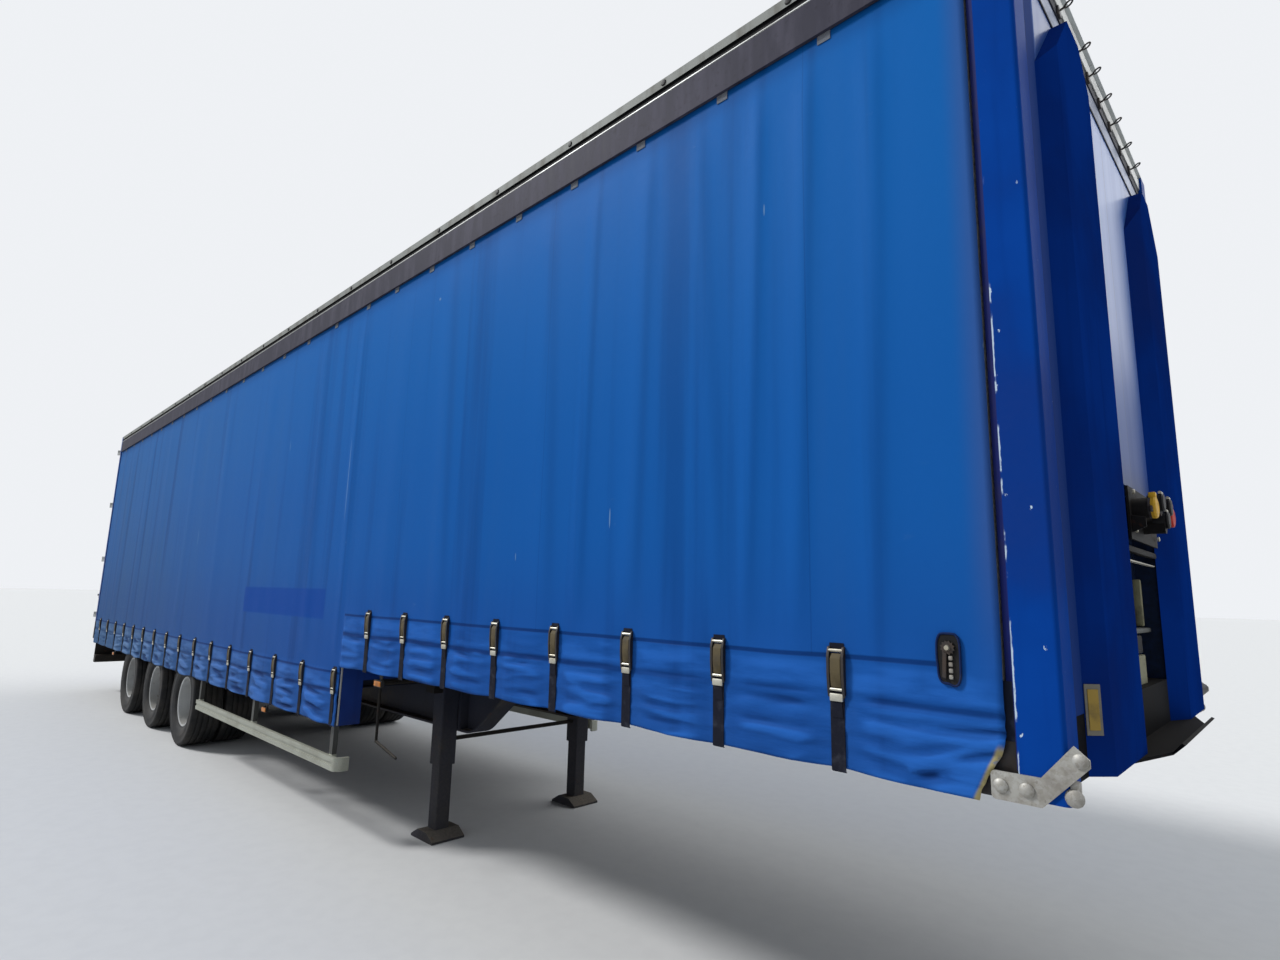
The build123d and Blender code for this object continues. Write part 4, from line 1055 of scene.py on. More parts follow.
@dataclass
class Layout:
    """Places that the sub-assemblies share."""

    front: float = 6.713
    rear: float = -6.887
    step: float = 2.373
    lower_hem: float = 0.740
    upper_hem: float = 1.145
    band: float = 0.355
    side_face: float = 1.256
    axles: tuple[float, ...] = (-1.507, -2.817, -4.127)
    axle_z: float = 0.4475
    twin_y: float = 0.930
    half_pitch: float = 0.155
    upper_straps: int = 8
    upper_first: float = 0.540
    upper_pitch: float = 0.489
    lower_straps: int = 16
    lower_first: float = 0.080
    lower_pitch: float = 0.584

    def straps(self) -> list[tuple[float, float]]:
        """Places of the straps, from the front to the rear.

        Returns:
            X and hem height of every strap.
        """
        upper, lower = self.front - self.upper_first, self.step - self.lower_first
        places = [(upper - self.upper_pitch * k, self.upper_hem) for k in range(self.upper_straps)]
        return places + [(lower - self.lower_pitch * k, self.lower_hem) for k in range(self.lower_straps)]

    def wheel_sets(self) -> list[tuple[str, Hand, float, int]]:
        """Name's ending, side, X and axle number of every wheel set."""
        axles = enumerate(self.axles, start=1)
        return [(f"{number}_{hand.word}", hand, x, number) for number, x in axles for hand in Hand]


@dataclass
class Curtain:
    """One side curtain: hung cloth that its straps gather along the lower band."""

    hand: Hand
    layout: Layout
    top: float = 3.890
    rest_y: float = 1.2348
    thick: float = 0.002
    rear_end: float = -6.817
    front_end: float = 6.683
    tear: float = 0.075
    flare: float = 0.0088
    rear_flare: float = 0.0040
    mean_out: float = 0.0090
    out_range: float = 0.0080
    wave_deep: float = 0.0052
    crumple_deep: float = 0.0078
    ridge_deep: float = 0.0065
    tuck_deep: float = 0.0060
    most_out: float = 0.0175
    most_rear: float = 0.0085
    most_top: float = 0.0062
    most_door: float = 0.010
    tensioner_x: float = 6.537
    tensioner_z: float = 1.513
    columns_rear: int = 215
    columns_front: int = 190
    # Lowest height and count of each group of rows.
    rows: tuple[tuple[float, int], ...] = ((0.740, 40), (1.105, 4), (1.145, 40), (1.510, 30), (3.890, 0))

    @property
    def seed(self) -> float:
        """Seed of this side's folds."""
        return 3.7 if self.hand is Hand.RIGHT else 11.3

    def strap_reach(self, x: float, hem: float) -> float:
        """Distance to the nearest strap of the same hem, as a share of the half pitch.

        Args:
            x: Place along the trailer.
            hem: Height of the hem.

        Returns:
            The share, from 0 at a strap to 1 halfway.
        """
        pitch = self.layout.upper_pitch if hem == self.layout.upper_hem else self.layout.lower_pitch
        gaps = (abs(x - place) for place, strap_hem in self.layout.straps() if strap_hem == hem)
        nearest = min(gaps, default=pitch)
        return min(1.0, nearest / (pitch / 2))

    def slack(self, x: float, hem: float) -> float:
        """Slack of the band between straps: 0 at a strap, 1 halfway."""
        return math.sin(math.pi / 2 * ease(self.strap_reach(x, hem), 0.10, 0.75))

    def slack_rear(self, x: float) -> float:
        """Share of the slacker band behind the step, clear of the folded doors."""
        return ease(x, self.layout.step + 0.02, self.layout.step - 0.02) * ease(x, -5.2, -4.4)

    def flat_share(self, x: float, z: float) -> float:
        """Share by which the tensioner holds the cloth flat."""
        return ease(abs(x - self.tensioner_x), 0.110, 0.050) * ease(abs(z - self.tensioner_z), 0.140, 0.090)

    def hang(self, x: float, z: float, above: float) -> float:
        """Distance outwards of the cloth over the band, with its folds.

        Args:
            x: Place along the trailer.
            z: Height.
            above: Share of the fold's full depth, less near the band.

        Returns:
            The distance outwards.
        """
        hung = ease(z, 3.83, 3.50)
        out = 0.0012 + 0.0016 * hung
        for at, lean, width, depth in FOLDS:
            sway = 0.02 * noise.noise((z * 0.8, at, self.seed))
            across = (x - at - lean * (z - FOLD_LEVEL) - sway) / width
            if abs(across) < 3:
                out += depth * hump(across, 1) * hung * (0.3 + 0.7 * above)
        out += 0.0030 * hung * (0.5 + 0.5 * noise.noise((x * 1.1, z * 0.45, self.seed)))
        return out + 0.0016 * hung * noise.noise((x * 6.0, z * 0.6, self.seed + 5))

    def gather(self, x: float, up: float, slack: float) -> float:
        """Distance outwards of the band below the seam, with its wrinkles.

        Args:
            x: Place along the trailer.
            up: Height over the hem.
            slack: Slack of the band there.

        Returns:
            The distance outwards.
        """
        seed, rear = self.seed, self.slack_rear(x)
        drift = noise.noise((x * 1.5, 0.3, seed)) * 2.6 + noise.noise((x * 4.0, up * 3, seed)) * 0.8
        loose = 0.22 + 0.78 * ease(up, 0.240, 0.190)
        wave = math.sin(up * 92 + drift) * 0.75 + math.sin(up * 151 + drift * 1.7 + 1.3) * 0.25
        sway = math.sin(up * 60 + drift * 1.3 + x * 6.5) * 0.85 + math.sin(up * 118 + drift + 0.6) * 0.25
        wave += (sway - wave) * rear
        crumple = noise.noise((x * 2.8, up * 25.0, seed + 2)) + 0.45 * noise.noise((x * 8.0, up * 42.0, seed))
        tuck = hump(up - 0.222 - 0.012 * noise.noise((x * 1.9, 2.0, seed)), 0.012)
        sharp = max(0.0, 1 - 2.6 * abs(noise.noise((x * 1.8, up * 17.0, seed + 8)))) ** 2
        deep = self.wave_deep * wave + self.crumple_deep * crumple + self.ridge_deep * sharp
        flare = self.flare + self.rear_flare * rear
        taut = 0.0045 * (1 - slack) * crumple * loose
        return 0.0008 + slack * (flare + loose * deep * (1 + 0.8 * rear) - self.tuck_deep * tuck) + taut

    def bulge(self, x: float, z: float, hem: float) -> float:
        """How far the cloth stands out from its plane.

        Args:
            x: Place along the trailer.
            z: Height.
            hem: Height of the hem there.

        Returns:
            The distance outwards, in metres.
        """
        up, band = z - hem, self.layout.band
        below = 1.0 - ease(up, band - 0.03, band + 0.03)
        out = self.hang(x, z, ease(up, band - 0.03, band + 0.25)) * (1 - below)
        out += self.gather(x, up, self.slack(x, hem)) * below
        pull = hump(self.strap_reach(x, hem), 1 / 3) * hump(up - band, 0.12)
        out *= 1 - 0.85 * pull
        if x > 6.40 and z < 1.36:
            crease = (z - 1.165) - (x - 6.36) * 0.42
            out += 0.011 * ease(x, 6.45, 6.66) * ease(z, 1.34, 1.16)
            out += 0.009 * hump(crease, 0.014) * ease(x, 6.30, 6.46)
            out -= 0.005 * hump(crease + 0.035, 0.020) * ease(x, 6.34, 6.50)
        out += (0.0025 - out) * self.flat_share(x, z)
        limit = self.most_top if z > 3.80 else self.most_out + self.most_rear * self.slack_rear(x)
        if x < -5.4:
            limit = min(limit, self.most_door)
        return min(limit, max(-0.0006, out))

    def fold_shade(self, x: float, z: float, hem: float, out: float) -> float:
        """Fold of the band for the finish, which paints shade in a hollow and a highlight on a ridge: -1 in a hollow
        and 1 on a ridge.

        Args:
            x: Place along the trailer.
            z: Height.
            hem: Height of the hem there.
            out: How far the cloth stands out.

        Returns:
            The fold, which fades beside straps and over the band.
        """
        slack = self.slack(x, hem)
        mean = self.mean_out + self.rear_flare * self.slack_rear(x)
        shown = ease(z - hem, self.layout.band + 0.010, self.layout.band - 0.030) * (1 - self.flat_share(x, z))
        return shown * slack * (out - mean * slack) / self.out_range

    def place(self, x: float, z: float, hem: float, out: float) -> Point:
        """Place of a point of the hung cloth.

        Args:
            x: Place along the flat cloth.
            z: Height on the flat cloth.
            hem: Height of the hem there.
            out: How far the cloth stands out.

        Returns:
            The place, with the hem's sag and the torn corner.
        """
        low = 1 - ease(z, hem, hem + 0.12)
        drop = (0.006 * noise.noise((x * 3.1, 1.0, 4.0)) - 0.007 * self.strap_reach(x, hem)) * low
        torn = self.tear * ease(x, 6.40, self.front_end) * ease(z, 1.31, 1.14)
        torn += 0.004 * noise.noise((z * 55, 2.0, 1.0)) * ease(x, 6.62, self.front_end) * ease(z, 1.31, 1.25)
        return x - torn, self.hand.value * (self.rest_y + out), z + drop

    def build(self) -> Piece:
        """Makes the cloth from a grid and cuts the step in its lower edge.

        Returns:
            The curtain.
        """
        heights: list[float] = []
        for (low, count), (high, _) in zip(self.rows, self.rows[1:]):
            heights += [low + (high - low) * k / count for k in range(count)]
        heights.append(self.rows[-1][0])
        rear, step, front = self.rear_end, self.layout.step, self.front_end
        places = [rear + (step - rear) * k / self.columns_rear for k in range(self.columns_rear)]
        places += [step + (front - step) * k / self.columns_front for k in range(self.columns_front + 1)]
        across, up = len(places) - 1, len(heights) - 1
        Shop.clear()
        bpy.ops.mesh.primitive_grid_add(x_subdivisions=across, y_subdivisions=up, size=2, location=(0, 0, 0))
        piece = bpy.context.object
        # The fold attribute carries the painted shade and highlights of the band's wrinkles.
        folds = piece.data.attributes.new("fold", "FLOAT", "POINT")
        for vertex in piece.data.vertices:
            x, z = places[round((vertex.co.x + 1) / 2 * across)], heights[round((vertex.co.y + 1) / 2 * up)]
            hem = self.layout.lower_hem if x <= step + 0.0001 else self.layout.upper_hem
            out = self.bulge(x, z, hem)
            vertex.co = self.place(x, z, hem, out)
            folds.data[vertex.index].value = self.fold_shade(x, z, hem, out)
        piece.data.update()
        bpy.ops.object.mode_set(mode="EDIT")
        bpy.ops.mesh.select_all(action="DESELECT")
        bpy.ops.object.mode_set(mode="OBJECT")
        for face in piece.data.polygons:
            face.select = face.center.x > step and face.center.z < self.layout.upper_hem - 0.004
        bpy.ops.object.mode_set(mode="EDIT")
        bpy.ops.mesh.delete(type="FACE")
        bpy.ops.mesh.select_all(action="SELECT")
        bpy.ops.mesh.normals_make_consistent(inside=False)
        bpy.ops.object.mode_set(mode="OBJECT")
        if sum(face.normal.y * face.area for face in piece.data.polygons) * self.hand.value < 0:
            piece.data.flip_normals()
        wall = piece.modifiers.new("wall", "SOLIDIFY")
        wall.thickness = self.thick
        wall.offset = 0.0
        bpy.ops.object.modifier_apply(modifier=wall.name)
        piece.name = f"cloth_{self.hand.word}"
        return Shop.tidy(piece, CLOTH, 180)

    def dress(self) -> None:
        """Hangs the cloth on the trailer and hides the model's curtain."""
        piece = self.build()
        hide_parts(f"curtain_{self.hand.word}")
        report(piece, "trailer")


@dataclass
class StrapRow:
    """Straps and over-centre buckles along one curtain's lower band."""

    hand: Hand
    layout: Layout
    back: float = 1.2376
    width: float = 0.050
    buckle_width: float = 0.062
    buckle_height: float = 0.165
    cheek: float = 0.010
    deep: float = 0.0175
    lift: float = 0.028
    centre: Moulding = Moulding("buckle_olive", tint(84, 74, 52), dirty=0.5, rough=0.6)

    def buckle(self, y: float, low: float, top: float) -> list[Piece]:
        """Cheeks, lever, pins and end piece of the buckle.

        Args:
            y: Y of the cloth.
            low: Lowest height of the buckle.
            top: Its highest height.

        Returns:
            The pieces.
        """
        half = self.buckle_width / 2
        cheek = (
            (y, low + 0.012), (y - 0.008, low), (y - 0.013, low + 0.02), (y - self.deep, top - 0.09),
            (y - self.deep, top - 0.035), (y - 0.010, top - 0.004), (y, top),
        )
        lever = (
            (y - 0.003, low + 0.030), (y - 0.011, low + 0.034), (y - 0.0165, top - 0.085),
            (y - 0.0155, top - 0.040), (y - 0.006, top - 0.022), (y - 0.003, top - 0.030),
        )
        pieces = [
            Shop.prism(at_x(side * half, cheek), (-side * self.cheek, 0, 0), DARK_STEEL, 0.0012) for side in (-1, 1)
        ]
        pieces.append(Shop.prism(at_x(-0.019, lever), (0.038, 0, 0), self.centre, 0.0015))
        for z, radius, out in ((top - 0.014, 0.0055, 0.0075), (low + 0.026, 0.0050, 0.0085)):
            pin = ((-half + 0.006, radius), (half - 0.006, radius))
            pieces.append(Shop.turned(pin, (0, y - out, z), Axis.X, ZINC, 10))
        pieces.append(Shop.block((-0.024, y - 0.0125, low - 0.012), (0.024, y - 0.004, low + 0.014), ZINC, 0.004))
        return pieces

    def pattern(self) -> Piece:
        """One strap with its buckle on the right-hand side, with the hem at Z 0 and X 0.

        Returns:
            The pattern piece.
        """
        y, top = -self.back, self.layout.band + self.lift
        low = top - self.buckle_height
        pieces = self.buckle(y, low, top)
        patch = (-0.026, y - 0.0022, top - 0.02), (0.026, y - 0.0004, top + 0.010)
        pieces.append(Shop.block(*patch, STRAP, 0.0006, 1))
        run = (
            (y - 0.0005, low + 0.02), (y - 0.0045, low - 0.004), (y - 0.0032, low * 0.5), (y - 0.0030, 0.010),
            (y - 0.0022, -0.010), (y + 0.0045, -0.014), (y + 0.0048, -0.0118), (y + 0.0006, -0.0085),
            (y - 0.0006, 0.010), (y - 0.0008, low * 0.5), (y - 0.0010, low - 0.004),
        )
        pieces.append(Shop.prism(at_x(-self.width / 2, run), (self.width, 0, 0), STRAP))
        tail = [
            (-0.020, y - 0.0050, low + 0.004), (-0.020, y - 0.0078, low + 0.002), (-0.017, y - 0.0060, low - 0.062),
            (-0.018, y - 0.0040, low - 0.060),
        ]
        pieces.append(Shop.prism(tail, (0.038, 0, 0), STRAP))
        return Shop.join(pieces, "strap_pattern")

    def dress(self) -> None:
        """Copies the pattern to every strap's place."""
        copies = Shop.spread(self.pattern(), [(x, 0, hem) for x, hem in self.layout.straps()])
        made = Shop.join(copies, f"straps_{self.hand.word}", self.hand is Hand.LEFT)
        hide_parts("curtain_straps")
        report(made, "trailer")


@dataclass
class Tensioner:
    """Slot in the curtain's front end with the ratchet that tightens its pole."""

    hand: Hand
    x: float = 6.537
    z: float = 1.513
    half_x: float = 0.034
    half_z: float = 0.075
    face: float = 1.2400
    plate: float = 0.004
    corners: int = 20
    teeth: int = 24
    wheel_up: float = 0.034
    tooth_radii: tuple[float, float] = (0.017, 0.022)
    links: int = 4
    link_pitch: float = 0.018

    def slot(self) -> list[Point]:
        """Rounded outline of the slot, with one corner drawn in.

        Returns:
            The points.
        """
        outline = []
        for k in range(self.corners):
            cosine, sine = math.cos(math.tau * k / self.corners), math.sin(math.tau * k / self.corners)
            reach = 1.0 if sine > -0.2 or cosine > 0 else 0.92
            reach *= (abs(cosine) ** 6 + abs(sine) ** 6) ** (-1 / 6)
            outline.append((self.x + self.half_x * cosine * reach, -self.face, self.z + self.half_z * sine * reach))
        return outline

    def dress(self) -> None:
        """Builds the slot's rim on a black plate that stands for the shade inside it, the ratchet wheel and its pawl.
        """
        outline, y, wheel_z = self.slot(), -self.face - self.plate, self.z + self.wheel_up
        pieces = [
            # Black plate in the slot: painted shade of its inside.
            Shop.prism(outline, (0, -self.plate, 0), Moulding("slot_shade_black", tint(14, 14, 16), rough=0.6), 0.0012),
            Shop.wire([(p[0], y, p[2]) for p in outline], 0.0035, Webbing("slot_rim", tint(22, 40, 84)), True),
        ]
        teeth = []
        for k in range(self.teeth):
            radius, angle = self.tooth_radii[k % 2], math.tau * k / self.teeth
            teeth.append((self.x + radius * math.cos(angle), y, wheel_z + radius * math.sin(angle)))
        pieces.append(Shop.prism(teeth, (0, -0.006, 0), DARK_STEEL))
        hub = ((-0.014, 0.0), (-0.014, 0.007), (-0.002, 0.010), (0.0, 0.010))
        pieces.append(Shop.turned(hub, (self.x, y, wheel_z), Axis.Y, ZINC, 12, shell=True))
        for k in range(self.links):
            low = self.z - 0.056 + self.link_pitch * k
            pieces.append(Shop.block((self.x + 0.002, y - 0.008, low), (self.x + 0.014, y, low + 0.013), FOOT_STEEL))
        lever = at_y(y, ((self.x + dx, self.z + dz) for dx, dz in
                         ((-0.018, -0.052), (-0.006, -0.056), (-0.002, 0.020), (-0.014, 0.024))))
        pieces.append(Shop.prism(lever, (0, -0.009, 0), DARK_STEEL, 0.0015))
        report(Shop.join(pieces, f"tensioner_{self.hand.word}", self.hand is Hand.LEFT), "trailer")


@dataclass
class TyrePair:
    """Two ribbed road tyres on one hub."""

    layout: Layout
    radius: float = 0.4475
    bead: float = 0.2482
    half: float = 0.139
    steps: int = 72
    grooves: tuple[float, ...] = (-0.078, -0.027, 0.027, 0.078)
    groove_half: float = 0.005
    groove_deep: float = 0.012

    def profile(self) -> list[tuple[float, float]]:
        """Section of one tyre, a loop of distances across and radii.

        Returns:
            The points.
        """
        r, h, bead = self.radius, self.half, self.bead
        left = [
            (-0.092, bead), (-0.104, bead + 0.004), (-0.109, bead + 0.016), (-0.118, bead + 0.030),
            (-0.121, bead + 0.032), (-0.132, bead + 0.066), (-h, bead + 0.098), (-h - 0.0008, bead + 0.103),
            (-h, bead + 0.108), (-h + 0.0005, bead + 0.130), (-h + 0.003, r - 0.042), (-h - 0.0002, r - 0.036),
            (-h + 0.001, r - 0.022), (-h + 0.007, r - 0.010), (-h + 0.020, r - 0.0035),
        ]
        tread: list[tuple[float, float]] = []
        for at in self.grooves:
            g, deep = self.groove_half, self.groove_deep
            crown = r - 0.0030 * (at / 0.12) ** 2
            tread += [
                (at - g - 0.002, crown), (at - g, crown - 0.0015), (at - g * 0.6, r - deep),
                (at + g * 0.6, r - deep), (at + g, crown - 0.0015), (at + g + 0.002, crown),
            ]
        right = [(-a, b) for a, b in reversed(left)]
        return left + tread + right + [(0.060, bead + 0.004), (0.0, bead + 0.006), (-0.060, bead + 0.004), left[0]]

    def dress(self) -> None:
        """Spins one tyre and copies it to all twelve places."""
        pattern = Shop.turned(self.profile(), (0, 0, 0), Axis.Y, TYRE, self.steps, 40)
        for ending, hand, x, _ in self.layout.wheel_sets():
            places = [self.layout.twin_y + k * self.layout.half_pitch for k in (1, -1)]
            copies = [Shop.copy(pattern, (x, hand.value * y, self.layout.axle_z)) for y in places]
            made = Shop.join(copies, f"ribbed_tyres_{ending}")
            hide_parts(f"tyres_{ending}")
            report(made, f"wheelset_{ending}")
        bpy.data.objects.remove(pattern)


@dataclass
class WheelTrim:
    """Nuts, studs, hub cap bolts, rolled rim lip and valve of each outer wheel."""

    layout: Layout
    nuts: int = 10
    nut_circle: float = 0.1375
    face: float = 0.9424
    cap_face: float = 1.072
    cap_bolts: int = 6
    cap_circle: float = 0.088
    cap_flange: float = 1.0005
    lip_out: float = 0.0952
    turn: float = 0.35

    def pattern(self) -> Piece:
        """Trim of a right-hand wheel about the origin of its axle line.

        Returns:
            The pattern piece.
        """
        nut = (
            (0.0, 0.0215), (-0.003, 0.0215), (-0.005, 0.0165), (-0.022, 0.0165), (-0.024, 0.014), (-0.024, 0.009),
            (-0.036, 0.009), (-0.038, 0.006),
        )
        lip = (
            (0.0, 0.2375), (-0.004, 0.2372), (-0.010, 0.2400), (-0.013, 0.2470), (-0.0125, 0.2540), (-0.009, 0.2560),
            (-0.005, 0.2540), (-0.004, 0.2478), (0.0, 0.2474), (0.0, 0.2375),
        )
        cap = (
            (0.0, 0.0), (-0.0035, 0.0), (-0.0045, 0.012), (-0.0045, 0.038), (-0.001, 0.047), (0.004, 0.0505),
            (0.010, 0.0512),
        )
        bolt = ((0.0, 0.006), (-0.005, 0.006), (-0.006, 0.0045))
        lip_y = self.layout.twin_y + self.layout.half_pitch + self.lip_out
        pieces = Shop.spread(
            Shop.turned(nut, (0, -self.face, self.nut_circle), Axis.Y, DARK_STEEL, 6, 25),
            turns=[Matrix.Rotation(math.tau * k / self.nuts, 4, "Y") for k in range(self.nuts)],
        )
        pieces.append(Shop.turned(lip, (0, -lip_y, 0), Axis.Y, RIM, 64))
        pieces.append(Shop.turned(cap, (0, -self.cap_face, 0), Axis.Y, RIM, shell=True))
        pieces += Shop.spread(
            Shop.turned(bolt, (0, -self.cap_flange, self.cap_circle), Axis.Y, ZINC, 6, 25),
            turns=[Matrix.Rotation(math.tau * (k + 0.5) / self.cap_bolts, 4, "Y") for k in range(self.cap_bolts)],
        )
        pieces.append(Shop.wire([(0.19, -0.955, 0.02), (0.20, -1.00, 0.02), (0.205, -1.03, 0.02)], 0.004, ZINC))
        return Shop.join(pieces, "trim_pattern")

    def dress(self) -> None:
        """Copies the trim to the six wheel sets, each turned another way."""
        pattern = self.pattern()
        for ending, hand, x, number in self.layout.wheel_sets():
            turn = Matrix.Rotation(self.turn * number, 4, "Y")
            made = Shop.copy(pattern, (x, 0, self.layout.axle_z), FLIP @ turn if hand is Hand.LEFT else turn)
            made.name = f"wheel_trim_{ending}"
            report(made, f"wheelset_{ending}")
        bpy.data.objects.remove(pattern)


@dataclass
class AirSprings:
    """Two-lobed rubber bellows on steel pistons, between arms and beams."""

    layout: Layout
    radius: float = 0.110
    low: float = 0.491
    high: float = 0.700
    y: float = 0.490
    set_back: float = 0.410

    def dress(self) -> None:
        """Turns one bellows with its plates and copies it to six places."""
        span = self.high - self.low
        # Heights over the seat, and radii as shares of the bellows' radius.
        sections = (
            (BELLOWS, 40, 60, (
                (0.045, 0.62), (0.052, 0.80), (0.070, 0.93), (0.092, 0.985), (0.108, 0.95), (0.118, 0.87),
                (0.122, 0.85), (0.126, 0.87), (0.138, 0.96), (0.158, 0.99), (0.178, 0.93), (0.192, 0.80),
                (span - 0.010, 0.70))),
            (BLACK, 32, 35, ((0.0005, 0.58), (0.012, 0.62), (0.050, 0.60), (0.062, 0.5))),
            (BLACK, 32, 35, ((span - 0.012, 0.76), (span - 0.008, 0.78), (span - 0.0005, 0.76))),
            (DARK_STEEL, 32, 35, (
                (0.1205, 0.84), (0.118, 0.872), (0.122, 0.885), (0.126, 0.872), (0.1235, 0.84), (0.1205, 0.84))),
        )
        pieces = []
        for finish, steps, smooth, points in sections:
            profile = [(up, self.radius * share) for up, share in points]
            pieces.append(Shop.turned(profile, (0, 0, self.low), Axis.Z, finish, steps, smooth))
        places = [(x - self.set_back, side * self.y, 0) for x in self.layout.axles for side in (1, -1)]
        made = Shop.join(Shop.spread(Shop.join(pieces, "spring_pattern"), places), "air_springs")
        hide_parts("air_bags")
        report(made, "trailer")


@dataclass
class RoofTrim:
    """Fixing caps and bright lips of the roof rails, and tabs at the curtains' rollers."""

    layout: Layout
    rail_top: float
    caps: int = 19
    pitch: float = 0.677
    first: float = 6.026
    cap_drop: float = 0.024
    lip_drop: float = 0.0845
    lip_start: float = 0.102
    lip_gap: float = 0.104
    tab_low: float = 3.795
    tab_high: float = 3.832

    def dress(self) -> None:
        """Builds the caps, the lip and the tabs of the right side and copies them to the left."""
        face, lip_z = self.layout.side_face, self.rail_top - self.lip_drop
        black = Moulding("cap_black", tint(20, 20, 22), rough=0.5)
        dome = ((0.004, 0.016), (-0.001, 0.016), (-0.005, 0.012), (-0.007, 0.0))
        cap = Shop.turned(dome, (0, -face + 0.003, self.rail_top - self.cap_drop), Axis.Y, black, 12)
        pieces = Shop.spread(cap, [(self.first - self.pitch * k, 0, 0) for k in range(self.caps)])
        lip = ((-face + 0.004, lip_z - 0.005), (-face - 0.002, lip_z - 0.004), (-face - 0.002, lip_z + 0.001),
               (-face + 0.004, lip_z + 0.002))
        run = self.layout.front - self.layout.rear - self.lip_gap
        pieces.append(Shop.prism(at_x(self.layout.rear + self.lip_start, lip), (run, 0, 0), ALUMINIUM))
        grey = Webbing("roller_tab", tint(120, 124, 132))
        tab = Shop.block((-0.028, -1.2412, self.tab_low), (0.028, -1.2385, self.tab_high), grey, 0.0008, 1)
        pieces += Shop.spread(tab, [(x, 0, 0) for x, _ in self.layout.straps()])
        right = Shop.join(pieces, "roof_trim_right")
        left = Shop.copy(right, turn=FLIP)
        left.name = "roof_trim_left"
        for piece in (right, left):
            report(piece, "trailer")


